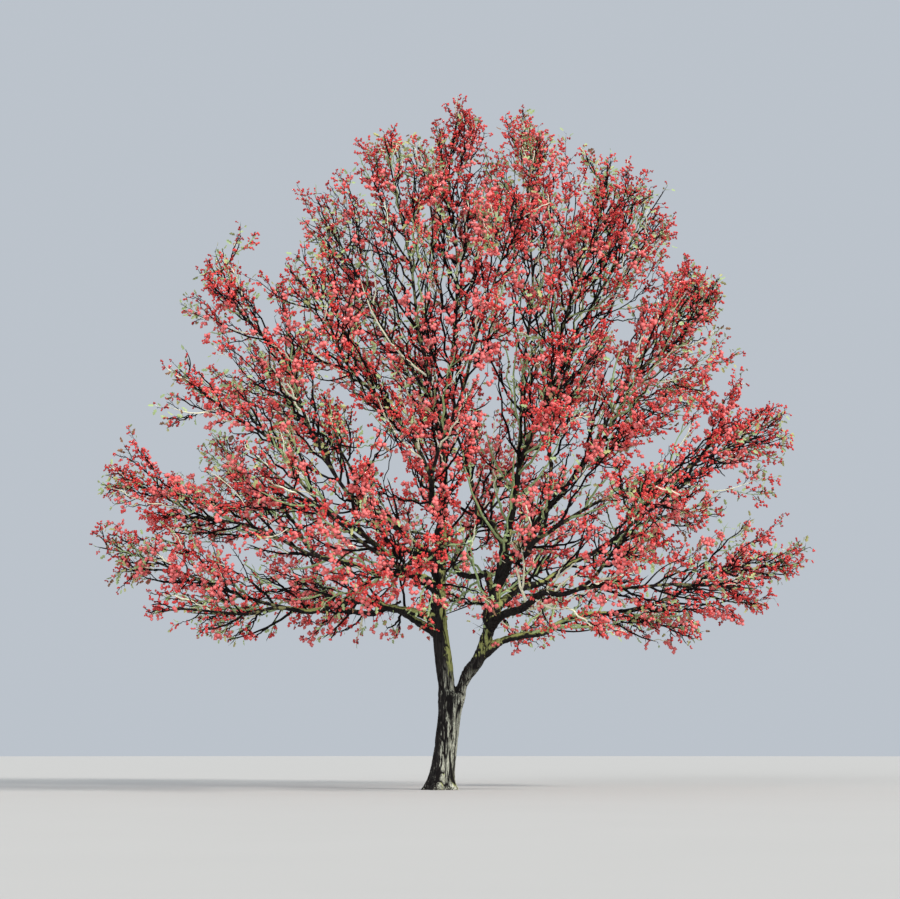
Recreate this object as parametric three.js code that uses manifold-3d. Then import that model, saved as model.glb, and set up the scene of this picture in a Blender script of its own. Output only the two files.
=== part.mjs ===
// A hawthorn tree in late autumn: nearly leafless, with red haws on every twig.
// Millimetres, +Z up. The origin is the middle of the trunk's flat cut at ground level,
// +X is to the right as seen from the front, and the front faces -Y.
import * as THREE from "three";
import { mergeVertices } from "three/addons/utils/BufferGeometryUtils.js";
import Module from "manifold-3d";

const wasm = await Module();
wasm.setup();

// Driving dimensions of the whole tree
const TREE_HEIGHT = 8000;
const CROWN_HUB = new THREE.Vector3(90, 0, 1720); // the boughs fan out from round here
const CROWN_HALF_SPREAD = 4210; // left and right of the hub
const CROWN_HALF_DEPTH = 4100; // in front of the hub and behind it
const CROWN_LEAN = 0.045; // how far the crown leans to the right, over its height
const CROWN_ROUNDNESS = 1.8; // 2 is an ellipsoid, and less draws the shoulders in
const CROWN_UNDERSIDE = 1600; // no twig hangs lower than this
const LOW_DRAW_IN = 0.84; // share of the full reach that level boughs have
const LOW_DRAW_ANGLE = 18; // degrees up at which a bough has its full reach
const PEAK_DRAW_IN = 0.042; // share of the reach that is lost round the crown's peak
const PEAK_ANGLE = 78; // degrees up at which the most is lost
const PEAK_WIDTH = 9; // degrees to either side over which it comes back
const CLEARANCE = 0.3; // between two solids that grow together on the living tree

// The trunk, a short leaning bole that widens to its fork
const TRUNK = {
  forkHeight: 1060,
  lean: 127, // how far to the right the fork stands
  radius: 119,
  forkHalfWidth: 153,
  forkWidening: 240, // height over which it widens below the fork
  flare: 78, // how far the roots swell the radius at the ground
  flareHeight: 110,
  flareLobes: 5, // one of them points left
  flareDepth: 0.42, // how deep the hollows between the root lobes are
  sides: 20,
  steps: 10,
};

// The two leaders that stand on the fork. Each way is a few stations of [x, y, z].
const LEADERS = [
  {
    side: "right",
    stations: [
      [203, 0, CLEARANCE],
      [203, 0, 40],
      [268, 0, 170],
      [410, 5, 360],
      [520, 10, 640],
      [585, 5, 960],
      [690, -15, 1460],
      [800, 10, 2000],
      [890, 30, 2560],
    ],
    baseRadius: 76,
    tipRadius: 30,
    firstBough: 1480,
  },
  {
    side: "left",
    stations: [
      [75, 0, 0],
      [75, 0, 40],
      [55, 0, 200],
      [20, 0, 450],
      [-8, 0, 700],
      [-25, 10, 1000],
      [5, 25, 1650],
      [30, -10, 2350],
      [10, 0, 3000],
    ],
    baseRadius: 101,
    tipRadius: 32,
    firstBough: 1710,
  },
];
const LEADER_SIDES = 12;
const LEADER_STEPS = 12;

// The boughs, in tiers that ring the leaders. Angles are in degrees. A bough that heads to the front or the
// back stands higher by the front rise, and its pair of sprays rises and falls from its own elevation.
const TIERS = [
  {
    name: "low",
    boughs: 6,
    azimuth: 15,
    elevation: 7,
    frontRise: 9,
    pair: 6,
    startRise: 22,
    enters: 0.5,
    radius: 46,
  },
  {
    name: "mid",
    boughs: 5,
    azimuth: 18,
    elevation: 29,
    frontRise: 3,
    pair: 5,
    startRise: 12,
    enters: 0.42,
    radius: 42,
  },
  {
    name: "high",
    boughs: 4,
    azimuth: -12,
    elevation: 52,
    frontRise: 0,
    pair: -4,
    startRise: -4,
    enters: 0.42,
    radius: 37,
  },
];
const BOUGH = {
  heightStep: 160, // between one bough and the next on a leader
  tipRadius: 26,
  wave: 0.035, // how far a bough wanders, as a share of its length
  turns: 1.5, // waves along a bough
  stations: 7,
  sides: 8,
  steps: 6,
};

// The sprays: masses of haw-laden twigs, two to a bough and more on the leaders' tips
const LEADER_SPRAYS = { // azimuth, elevation and share of the crown's reach
  right: [
    [0, 66, 1.03],
    [-48, 66, 1],
    [-5, 83, 0.97],
  ],
  left: [
    [152, 68, 1],
    [232, 74, 1],
    [180, 89, 1],
  ],
};

// A spray's stem, its twigs, and the clusters of haws that are strung on their outer ends
const STEM = {
  radius: 17,
  clusters: 1,
  straightStart: 80, // length that leaves its bough square to the cut
  bends: [0.3, 0.52, 0.76],
  wander: 0.03, // how far it sways at each bend, as a share of its length
};
const TWIG = {
  radius: 11,
  clusters: 3, // at most
  bare: 0.26, // share of a twig that has no haws, at its foot
  spacing: 430, // along the stem
  first: 0.07,
  last: 0.92,
  longest: 0.5, // over the stem's length
  shortening: 0.62, // how much shorter the twigs are towards the stem's tip
  opening: [54, 26], // degrees from the stem, at first and further out
  sway: 0.15,
};
const CLUSTER = { length: 390, radius: 112 };
const TWIG_SIDES = 4;
const FRAME_STEPS = 60; // every ring of a limb lies on one of these
const SHRINK_TRIES = [1, 0.75, 0.55, 0.4]; // a twig that has no room is tried shorter
const ROOM_MARGIN = 16; // kept round every twig
const ROOM_STEP = 70; // between the points of a twig that are tested

const BARK = { color: 0x3b3a35, roughness: 0.92, metalness: 0 };
const HAWS = { color: 0xb23a38, roughness: 0.5, metalness: 0 };

const DEGREE = Math.PI / 180;
const GOLDEN_ANGLE = 137.5 * DEGREE;
const UP = new THREE.Vector3(0, 0, 1);

// A repeatable number from 0 to 1 for one choice of one seed.
function chance(seed, choice) {
  const value = Math.sin(seed * 12.9898 + choice * 78.233) * 43758.5453;
  return value - Math.floor(value);
}

// The same, from -1 to 1.
function sway(seed, choice) {
  return 2 * chance(seed, choice) - 1;
}

// The unit vector at an azimuth, counted from +X towards +Y, and an elevation.
function heading(azimuth, elevation) {
  const level = Math.cos(elevation * DEGREE);
  return new THREE.Vector3(
    Math.cos(azimuth * DEGREE) * level,
    Math.sin(azimuth * DEGREE) * level,
    Math.sin(elevation * DEGREE),
  );
}

// How far the crown reaches from its hub: half a rounded dome with a slight peak, drawn in where the boughs
// are level.
function reach(way) {
  const level = Math.hypot(way.x / CROWN_HALF_SPREAD, way.y / CROWN_HALF_DEPTH);
  const upright = Math.abs(way.z) / (TREE_HEIGHT - CROWN_HUB.z);
  const full = (level ** CROWN_ROUNDNESS + upright ** CROWN_ROUNDNESS) ** (-1 / CROWN_ROUNDNESS);
  const angle = Math.asin(way.z) / DEGREE;
  const rise = THREE.MathUtils.smoothstep(angle, 0, LOW_DRAW_ANGLE);
  const dip = PEAK_DRAW_IN * Math.exp(-(((angle - PEAK_ANGLE) / PEAK_WIDTH) ** 2));
  return full * THREE.MathUtils.lerp(LOW_DRAW_IN, 1, rise) * (1 - dip);
}

// A point of the crown: a share of the reach along a heading from the hub, leant to the right.
function crownPoint(azimuth, elevation, share) {
  const way = heading(azimuth, elevation);
  const out = way.clone().multiplyScalar(reach(way) * share);
  out.x += CROWN_LEAN * out.z;
  return out.add(CROWN_HUB);
}

// Whether the crown holds a point.
function crownHolds(point) {
  const out = point.clone().sub(CROWN_HUB);
  out.x -= CROWN_LEAN * out.z;
  const distance = out.length();
  return distance <= reach(out.divideScalar(distance));
}

// A manifold solid of a closed three.js geometry.
function solidOf(geometry) {
  const bare = geometry.clone();
  bare.deleteAttribute("normal");
  bare.deleteAttribute("uv");
  const merged = mergeVertices(bare, 1e-4);
  return new wasm.Manifold(
    new wasm.Mesh({
      numProp: 3,
      vertProperties: merged.attributes.position.array,
      triVerts: new Uint32Array(merged.index.array),
    }),
  );
}

// The largest body of a solid, without loose scraps and sealed hollows.
function wholeBody(solid) {
  return solid.decompose().sort((a, b) => b.volume() - a.volume())[0];
}

// A named three.js mesh of a solid.
function meshOf(name, solid, finish) {
  const { vertProperties, triVerts } = solid.getMesh();
  const geometry = new THREE.BufferGeometry();
  geometry.setAttribute("position", new THREE.BufferAttribute(vertProperties, 3));
  geometry.setIndex(new THREE.BufferAttribute(triVerts, 1));
  geometry.computeVertexNormals();
  const mesh = new THREE.Mesh(geometry, new THREE.MeshStandardMaterial({ ...finish, flatShading: true }));
  mesh.name = name;
  return mesh;
}

// A round limb along a curve. Its rings are pairs of a share of the curve and a radius, and it ends
// in a point where the last radius is nothing.
function limbSolid(curve, rings, sides) {
  const frames = curve.computeFrenetFrames(FRAME_STEPS, false);
  const tipRadius = rings.at(-1)[1] > 0 ? 1 : 0;
  const round = new THREE.CylinderGeometry(tipRadius, 1, 1, sides, rings.length - 1);
  const position = round.attributes.position;
  for (let i = 0; i < position.count; i++) {
    const [share, radius] = rings[Math.round((position.getY(i) + 0.5) * (rings.length - 1))];
    const step = Math.round(share * FRAME_STEPS);
    const across = new THREE.Vector2(position.getX(i), position.getZ(i));
    if (across.length() > 1e-6) across.setLength(radius);
    const point = curve.getPointAt(share);
    point.addScaledVector(frames.normals[step], across.x);
    point.addScaledVector(frames.binormals[step], -across.y);
    position.setXYZ(i, point.x, point.y, point.z);
  }
  return solidOf(round);
}

// A woody limb: a curve that its radius tapers along.
class Limb {
  constructor(name, stations, baseRadius, tipRadius, sides, steps) {
    this.name = name;
    this.curve = new THREE.CatmullRomCurve3(stations);
    this.baseRadius = baseRadius;
    this.tipRadius = tipRadius;
    this.sides = sides;
    this.steps = steps;
    this.samples = this.curve.getSpacedPoints(4 * steps);
  }

  get tip() {
    return this.curve.getPointAt(1);
  }

  get tipHeading() {
    return this.curve.getTangentAt(1);
  }

  radiusAt(share) {
    return THREE.MathUtils.lerp(this.baseRadius, this.tipRadius, share);
  }

  // The solid, with its radius grown by a margin.
  solid(margin = 0) {
    const grown = margin / Math.cos(Math.PI / this.sides);
    const shares = Array.from({ length: this.steps + 1 }, (_, i) => i / this.steps);
    const rings = shares.map((share) => [share, this.radiusAt(share) + grown]);
    return limbSolid(this.curve, rings, this.sides);
  }

  // The point of the limb at a height, for a limb that keeps rising.
  pointAtHeight(height) {
    let low = 0;
    let high = 1;
    while (high - low > 1e-5) {
      const middle = (low + high) / 2;
      if (this.curve.getPointAt(middle).z < height) low = middle;
      else high = middle;
    }
    return this.curve.getPointAt(low);
  }

  // How far a point lies from the limb's surface.
  distanceTo(point) {
    let nearest = Infinity;
    this.samples.forEach((sample, i) => {
      const radius = this.radiusAt(i / (this.samples.length - 1));
      nearest = Math.min(nearest, sample.distanceTo(point) - radius);
    });
    return nearest;
  }
}

// The trunk: level rings that lean to the right, swell to root lobes below and to the fork above.
function trunkSolid() {
  const bole = new THREE.CylinderGeometry(1, 1, 1, TRUNK.sides, TRUNK.steps);
  const position = bole.attributes.position;
  for (let i = 0; i < position.count; i++) {
    // Rings stand closer together near the ground, where the flare turns quickly.
    const share = (position.getY(i) + 0.5) ** 1.5;
    const height = share * TRUNK.forkHeight;
    const angle = Math.atan2(position.getZ(i), position.getX(i));
    const lobes = 1 - TRUNK.flareDepth * Math.cos(TRUNK.flareLobes * angle);
    const roots = TRUNK.flare * Math.exp(-height / TRUNK.flareHeight) * lobes;
    const forkStart = TRUNK.forkHeight - TRUNK.forkWidening;
    const widening = THREE.MathUtils.smoothstep(height, forkStart, TRUNK.forkHeight);
    const wide = (TRUNK.forkHalfWidth - TRUNK.radius) * widening;
    position.setXYZ(
      i,
      TRUNK.lean * share + position.getX(i) * (TRUNK.radius + roots + wide),
      -position.getZ(i) * (TRUNK.radius + roots),
      height,
    );
  }
  return solidOf(bole);
}

// A leader, standing square on the trunk's fork.
function leaderLimb({ side, stations, baseRadius, tipRadius }) {
  const foot = TRUNK.forkHeight + CLEARANCE;
  const points = stations.map(([x, y, z]) => new THREE.Vector3(x, y, z + foot));
  return new Limb(`leader_${side}`, points, baseRadius, tipRadius, LEADER_SIDES, LEADER_STEPS);
}

// A bough, from the middle of its leader out to where its sprays begin.
function boughLimb(tier, order, azimuth, elevation, leader, height, seed) {
  const start = leader.pointAtHeight(height);
  const end = crownPoint(azimuth, elevation, tier.enters);
  const length = start.distanceTo(end);
  const rising = heading(azimuth, elevation + tier.startRise).multiplyScalar(0.35 * length);
  const level = heading(azimuth, elevation).multiplyScalar(-0.3 * length);
  const way = new THREE.CubicBezierCurve3(
    start,
    start.clone().add(rising),
    end.clone().add(level),
    end,
  );
  const sideways = heading(azimuth + 90, 0);
  const points = way.getSpacedPoints(BOUGH.stations - 1);
  points.forEach((point, i) => {
    const share = i / (BOUGH.stations - 1);
    const size = BOUGH.wave * length * Math.sin(Math.PI * share);
    const phase = 2 * Math.PI * (BOUGH.turns * share + chance(seed, 1));
    point.addScaledVector(UP, size * Math.sin(phase));
    point.addScaledVector(sideways, size * Math.cos(phase));
  });
  const name = `bough_${tier.name}_${order + 1}`;
  return new Limb(name, points, tier.radius, BOUGH.tipRadius, BOUGH.sides, BOUGH.steps);
}

// Every bough with its leader, lowest first, each higher on its leader than the last.
function growBoughs(leaders) {
  const boughs = [];
  const heights = LEADERS.map(({ firstBough }) => firstBough);
  TIERS.forEach((tier, t) => {
    for (let order = 0; order < tier.boughs; order++) {
      const azimuth = tier.azimuth + (order * 360) / tier.boughs;
      const elevation = tier.elevation + tier.frontRise * Math.sin(azimuth * DEGREE) ** 2;
      const which = Math.cos(azimuth * DEGREE) > 0 ? 0 : 1;
      const seed = 10 * (t + 1) + order;
      const limb = boughLimb(tier, order, azimuth, elevation, leaders[which], heights[which], seed);
      boughs.push({ limb, leader: leaders[which], azimuth, elevation, tier });
      heights[which] += BOUGH.heightStep;
    }
  });
  return boughs;
}

// The sprays that leave one limb's tip, side by side on its cut, each with its own aim in the crown.
function placeSprays(limb, aims, firstSeed) {
  const normal = limb.tipHeading;
  const targets = aims.map((aim) => crownPoint(...aim));
  const middle = targets.reduce((sum, t) => sum.add(t), new THREE.Vector3()).divideScalar(aims.length);
  const offset = (STEM.radius + 2) / Math.sin(Math.PI / aims.length);
  return targets.map((target, i) => {
    const outward = target.clone().sub(middle).projectOnPlane(normal).setLength(offset);
    const foot = limb.tip.addScaledVector(normal, CLEARANCE).add(outward);
    const letter = "abc"[i];
    const name = `${limb.name.replace("bough", "spray").replace("leader", "spray_top")}${letter}`;
    return { name, foot, normal, target, axis: new THREE.Line3(foot, target), seed: firstSeed + i };
  });
}

// All the sprays of the crown.
function placeCrown(boughs, leaders) {
  const sprays = boughs.flatMap(({ limb, azimuth, elevation, tier }, i) => {
    const half = 90 / tier.boughs;
    const aims = [
      [azimuth - half, elevation + tier.pair, 1],
      [azimuth + half, elevation - tier.pair, 1],
    ];
    return placeSprays(limb, aims, 100 + 10 * i);
  });
  const tops = leaders.flatMap((limb, i) =>
    placeSprays(limb, LEADER_SPRAYS[LEADERS[i].side], 400 + 10 * i),
  );
  return [...sprays, ...tops];
}

// Whether a ball has room in a spray's own space: nearer its axis than any other, clear of the limbs
// and inside the crown.
function hasRoom(point, radius, spray, crown, limbs) {
  const size = radius + ROOM_MARGIN;
  if (point.z - size < CROWN_UNDERSIDE || !crownHolds(point)) return false;
  const closest = new THREE.Vector3();
  const gapTo = ({ axis }) => axis.closestPointToPoint(point, true, closest).distanceTo(point);
  const own = gapTo(spray);
  return (
    crown.every((other) => other === spray || own + 2 * size < gapTo(other)) &&
    limbs.every((limb) => limb.distanceTo(point) > size)
  );
}

// The stem of a spray: square off its bough's cut, then swaying out to the crown's edge.
function stemCurve({ foot, normal, target, seed }) {
  const length = foot.distanceTo(target);
  const points = [foot, foot.clone().addScaledVector(normal, STEM.straightStart)];
  STEM.bends.forEach((share, i) => {
    const point = foot.clone().lerp(target, share);
    const side = new THREE.Vector3(sway(seed, 3 * i), sway(seed, 3 * i + 1), sway(seed, 3 * i + 2));
    points.push(point.addScaledVector(side, STEM.wander * length));
  });
  points.push(target);
  return new THREE.CatmullRomCurve3(points);
}

// The way of one twig: it leaves its stem openly, then leans back along it.
function twigCurve(stem, share, order, seed, shrink) {
  const along = stem.getTangentAt(share);
  const around = order * GOLDEN_ANGLE + 2 * Math.PI * chance(seed, 20);
  const out = new THREE.Vector3().crossVectors(along, UP).normalize().applyAxisAngle(along, around);
  const length = stem.getLength() * TWIG.longest * (1 - TWIG.shortening * share) * shrink;
  const stretch = length * (1 + TWIG.sway * sway(seed, 30 + order));
  const points = [stem.getPointAt(share)];
  TWIG.opening.forEach((opening) => {
    const way = along.clone().multiplyScalar(Math.cos(opening * DEGREE));
    way.addScaledVector(out, Math.sin(opening * DEGREE));
    points.push(points.at(-1).clone().addScaledVector(way, stretch / TWIG.opening.length));
  });
  return new THREE.CatmullRomCurve3(points);
}

// A stem or twig: tapering wood that swells into clusters of haws, end to end back from its tip.
// It bends at its forks, which are shares of its length.
function hawTwig(curve, radius, clusters, forks) {
  const length = curve.getLength();
  const size = Math.min(CLUSTER.length, (length * (1 - TWIG.bare)) / clusters) / length;
  const bareEnd = 1 - clusters * size;
  const bare = [0, ...forks.filter((share) => share < bareEnd), bareEnd];
  const rings = bare.map((share) => [share, radius * (1 - share)]);
  for (let back = clusters; back > 0; back--) {
    const end = 1 - (back - 1) * size;
    rings.push([end - size / 2, CLUSTER.radius], [end, radius * (1 - end)]);
  }
  return limbSolid(curve, rings, TWIG_SIDES);
}

// Whether a whole twig and its haws have room.
function twigHasRoom(curve, spray, crown, limbs) {
  const count = Math.ceil(curve.getLength() / ROOM_STEP);
  const points = curve.getSpacedPoints(count);
  return points.every((point, i) => {
    const radius = i / count < TWIG.bare ? TWIG.radius : CLUSTER.radius;
    return i === 0 || hasRoom(point, radius, spray, crown, limbs);
  });
}

// One spray: a stem fused with the twigs that have room.
function spraySolid(spray, crown, limbs) {
  const stem = stemCurve(spray);
  const count = Math.round(stem.getLength() / TWIG.spacing);
  const forks = Array.from({ length: count }, (_, order) =>
    THREE.MathUtils.lerp(TWIG.first, TWIG.last, order / (count - 1)),
  );
  const pieces = [hawTwig(stem, STEM.radius, STEM.clusters, forks)];
  forks.forEach((share, order) => {
    const tries = SHRINK_TRIES.map((shrink) => twigCurve(stem, share, order, spray.seed, shrink));
    const twig = tries.find((curve) => twigHasRoom(curve, spray, crown, limbs));
    if (!twig) return;
    const fitting = Math.round((twig.getLength() * (1 - TWIG.bare)) / CLUSTER.length);
    pieces.push(hawTwig(twig, TWIG.radius, THREE.MathUtils.clamp(fitting, 1, TWIG.clusters), []));
  });
  return wholeBody(wasm.Manifold.union(pieces));
}

// The whole tree.
function hawthorn() {
  const tree = new THREE.Group();
  const add = (name, solid, finish) => tree.add(meshOf(name, solid, finish));
  const leaders = LEADERS.map(leaderLimb);
  const [right, left] = leaders;
  const boughs = growBoughs(leaders);
  const limbs = [...leaders, ...boughs.map(({ limb }) => limb)];
  const crown = placeCrown(boughs, leaders);

  add("trunk", trunkSolid(), BARK);
  add(left.name, left.solid(), BARK);
  add(right.name, wholeBody(right.solid().subtract(left.solid(CLEARANCE))), BARK);
  boughs.forEach(({ limb, leader }) => {
    add(limb.name, wholeBody(limb.solid().subtract(leader.solid(CLEARANCE))), BARK);
  });
  crown.forEach((spray) => add(spray.name, spraySolid(spray, crown, limbs), HAWS));
  return tree;
}

export default hawthorn();
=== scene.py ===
"""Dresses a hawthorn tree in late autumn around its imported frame.

Limbs, sprays and twigs follow the frame's own growing rule, and go on to finer twigs, haws and leaves.
Metres, +Z up. +X is to the right as seen from the front, and the front faces -Y.
"""

import logging
import math
from dataclasses import dataclass, field, fields, replace
from enum import Enum, IntEnum
from typing import Any, Optional, Sequence, Union

import bmesh
import bpy
import numpy as np
from numpy.typing import ArrayLike
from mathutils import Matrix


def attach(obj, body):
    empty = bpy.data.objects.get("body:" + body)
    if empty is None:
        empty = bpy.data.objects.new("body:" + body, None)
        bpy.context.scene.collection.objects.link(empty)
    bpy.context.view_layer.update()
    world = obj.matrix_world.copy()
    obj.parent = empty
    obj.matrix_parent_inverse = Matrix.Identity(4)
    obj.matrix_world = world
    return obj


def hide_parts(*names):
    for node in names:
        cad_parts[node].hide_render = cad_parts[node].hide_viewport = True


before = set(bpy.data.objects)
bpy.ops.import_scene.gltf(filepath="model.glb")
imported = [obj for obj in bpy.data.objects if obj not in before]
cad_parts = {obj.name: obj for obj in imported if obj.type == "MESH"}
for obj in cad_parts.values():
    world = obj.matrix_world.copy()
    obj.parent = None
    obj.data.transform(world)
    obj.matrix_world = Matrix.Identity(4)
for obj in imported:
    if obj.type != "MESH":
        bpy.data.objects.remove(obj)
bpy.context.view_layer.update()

LOG = logging.getLogger("hawthorn")
BODY = "root"
CREVICE = "crevice"
UP = np.array([0.0, 0.0, 1.0])
ACROSS = np.array([1.0, 0.0, 0.0])
FULL_TURN = 2.0 * math.pi
GOLDEN_ANGLE = math.radians(137.5)
Vector = tuple[float, float, float]
Colour = tuple[float, float, float]
Pair = tuple[float, float]
Triple = tuple[float, float, float]
SocketKey = Union[int, str]


class Slot(Enum):
    """The record's material slots."""

    BARK = "bark"
    SPRAYS = "haw_sprays"


# What is left to chance: every choice has a number, and every limb, twig and spur a seed


class PlanDraw(IntEnum):
    """The choices in the frame's own plan. Some are the first of several that count on."""

    STEM_BENDS = 0
    BOUGH_WAVE = 1
    TWIG_TURN = 20
    TWIG_LENGTHS = 30


class TwigDraw(IntEnum):
    """The choices in how a finer twig grows."""

    PLACE = 1
    TURN = 2
    LENGTH = 3
    OPENING = 4
    ZIGZAG = 5
    HEART = 6
    KEPT = 7
    EVENED = 8
    EDGE = 9
    TINT = 11


class TuftDraw(IntEnum):
    """The choices at a spur's end. HAW_SIZES is the first of several that count on."""

    BEARING = 21
    HAW_TINT = 22
    HAW_TURN = 23
    LEAF_TINT = 24
    CLUSTER_SIZE = 25
    LEAFY = 26
    EDGE_TINT = 27
    HAW_SIZES = 30
    LEAF_DROOP = 41
    LEAF_ROLL = 42
    LEAF_SIZE = 43


class BarkDraw(IntEnum):
    """The choices in the bark, whose NOISE the haws' bunches share. KNOBS is the first of several."""

    NOISE = 7
    KNOBS = 60


class FirstSeed(IntEnum):
    """The seed that each lot counts on from."""

    BOUGHS = 10
    BOUGH_SPRAYS = 100
    TOP_SPRAYS = 400
    LIMBS = 700
    SOURCE_TWIGS = 1_000
    INNER = 50_000
    SHOOTS = 100_000
    BRANCH_SHOOTS = 200_000
    SIDE = 300_000
    SIDE_SPURS = 400_000
    SHOOT_SPURS = 500_000
    BRANCH_SPURS = 600_000
    STEM_SPURS = 700_000
    LIMB_SPURS = 800_000


LIMB_SEED_STEP = 10
SPRAY_SEED_STEP = 40


# Numbers and vectors


SCATTER = (12.9898, 78.233, 43758.5453)
LATTICE = np.array([1.0, 57.0, 113.0])


def chance(seed: ArrayLike, choice: ArrayLike) -> np.ndarray:
    """Gives repeatable numbers from 0 to 1.

    Args:
        seed: Whose choice it is, one number or an array.
        choice: Which of its choices it is.

    Returns:
        One number for each seed.
    """
    by_seed, by_choice, spread = SCATTER
    value = np.sin(np.asarray(seed) * by_seed + np.asarray(choice) * by_choice) * spread
    return value - np.floor(value)


def sway(seed: ArrayLike, choice: ArrayLike) -> np.ndarray:
    """Gives repeatable numbers from -1 to 1, as chance does."""
    return 2.0 * chance(seed, choice) - 1.0


def unit(vectors: np.ndarray) -> np.ndarray:
    """Scales vectors to a length of one."""
    return vectors / np.linalg.norm(vectors, axis=-1, keepdims=True)


def heading(azimuth: float, elevation: float) -> np.ndarray:
    """Gives a unit vector by its angles.

    Args:
        azimuth: Counted from +X towards +Y, in degrees.
        elevation: Counted up from level, in degrees.

    Returns:
        The vector.
    """
    flat, rise = math.radians(azimuth), math.radians(elevation)
    level = math.cos(rise)
    return np.array([math.cos(flat) * level, math.sin(flat) * level, math.sin(rise)])


def turned(vectors: np.ndarray, axes: np.ndarray, angles: ArrayLike) -> np.ndarray:
    """Turns vectors that are square to their unit axes about those axes, by angles in radians."""
    angles = np.asarray(angles)[..., None]
    return vectors * np.cos(angles) + np.cross(axes, vectors) * np.sin(angles)


def square_to(ways: np.ndarray, steep: float = 0.9) -> np.ndarray:
    """Gives unit vectors square to headings: level ones, but where a heading's rise is more than steep."""
    return unit(np.cross(ways, np.where(np.abs(ways[:, 2:]) > steep, ACROSS, UP)))


def smooth_step(values: np.ndarray, low: float, high: float) -> np.ndarray:
    """Rises smoothly from 0 at low to 1 at high."""
    share = np.clip((values - low) / (high - low), 0.0, 1.0)
    return share * share * (3.0 - 2.0 * share)


def noise(points: np.ndarray) -> np.ndarray:
    """Gives smooth noise from 0 to 1.

    Args:
        points: Places in the noise, one row of three for each, with features about one unit wide.

    Returns:
        One number for each point.
    """
    cell = np.floor(points)
    part = points - cell
    ease = part * part * (3.0 - 2.0 * part)
    total = np.zeros(len(points))
    for corner in np.ndindex(2, 2, 2):
        weight = np.prod(np.where(np.array(corner) == 1, ease, 1.0 - ease), axis=1)
        total += weight * chance((cell + corner) @ LATTICE, BarkDraw.NOISE)
    return total


class Path:
    """A smooth curve through a few stations, walked by its length."""

    DIVISIONS = 200
    HEIGHT_DIVISIONS = 4000
    NUDGE = 1e-4

    def __init__(self, stations: ArrayLike) -> None:
        """Measures the curve.

        Args:
            stations: The points that it runs through, in order.
        """
        self.stations = np.asarray(stations, float)
        self._times = np.linspace(0.0, 1.0, self.DIVISIONS + 1)
        steps = np.linalg.norm(np.diff(self._spot(self._times), axis=0), axis=1)
        self._run = np.concatenate([[0.0], np.cumsum(steps)])
        self.length = float(self._run[-1])

    def _spot(self, times: np.ndarray) -> np.ndarray:
        """Gives points by the curve's own time: a centripetal spline, its ends run straight on.

        Args:
            times: Times from 0 at the first station to 1 at the last.

        Returns:
            One point for each time.
        """
        knots = self.stations
        run = np.vstack([2 * knots[0] - knots[1], knots, 2 * knots[-1] - knots[-2]])
        place = np.clip(times * (len(knots) - 1), 0.0, len(knots) - 1)
        index = np.minimum(place.astype(int), len(knots) - 2)
        share = (place - index)[:, None]
        before, near, far, after = (run[index + step] for step in range(4))
        pairs = ((before, near), (near, far), (far, after))
        lead, gap, trail = (np.sqrt(np.linalg.norm(end - start, axis=1))[:, None] for start, end in pairs)
        leave = ((near - before) / lead - (far - before) / (lead + gap) + (far - near) / gap) * gap
        arrive = ((far - near) / gap - (after - near) / (gap + trail) + (after - far) / trail) * gap
        cubic = 2 * near - 2 * far + leave + arrive
        square = -3 * near + 3 * far - 2 * leave - arrive
        return near + share * (leave + share * (square + share * cubic))

    def points(self, shares: ArrayLike) -> np.ndarray:
        """Gives the points at shares of the length."""
        shares = np.atleast_1d(np.asarray(shares, float))
        return self._spot(np.interp(shares * self.length, self._run, self._times))

    def tangents(self, shares: ArrayLike) -> np.ndarray:
        """Gives the unit headings at shares of the length.

        Args:
            shares: One share or several.

        Returns:
            One heading for each share.
        """
        shares = np.atleast_1d(np.asarray(shares, float))
        ahead = self.points(np.minimum(shares + self.NUDGE, 1.0))
        return unit(ahead - self.points(np.maximum(shares - self.NUDGE, 0.0)))

    def even(self, count: int) -> np.ndarray:
        """Gives a number of points, evenly spaced from end to end."""
        return self.points(np.linspace(0.0, 1.0, count))

    def at_height(self, height: float) -> np.ndarray:
        """Gives the point at a height, on a path that keeps rising."""
        shares = np.linspace(0.0, 1.0, self.HEIGHT_DIVISIONS + 1)
        return self.points(np.interp(height, self.points(shares)[:, 2], shares))[0]


# Meshes


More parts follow.
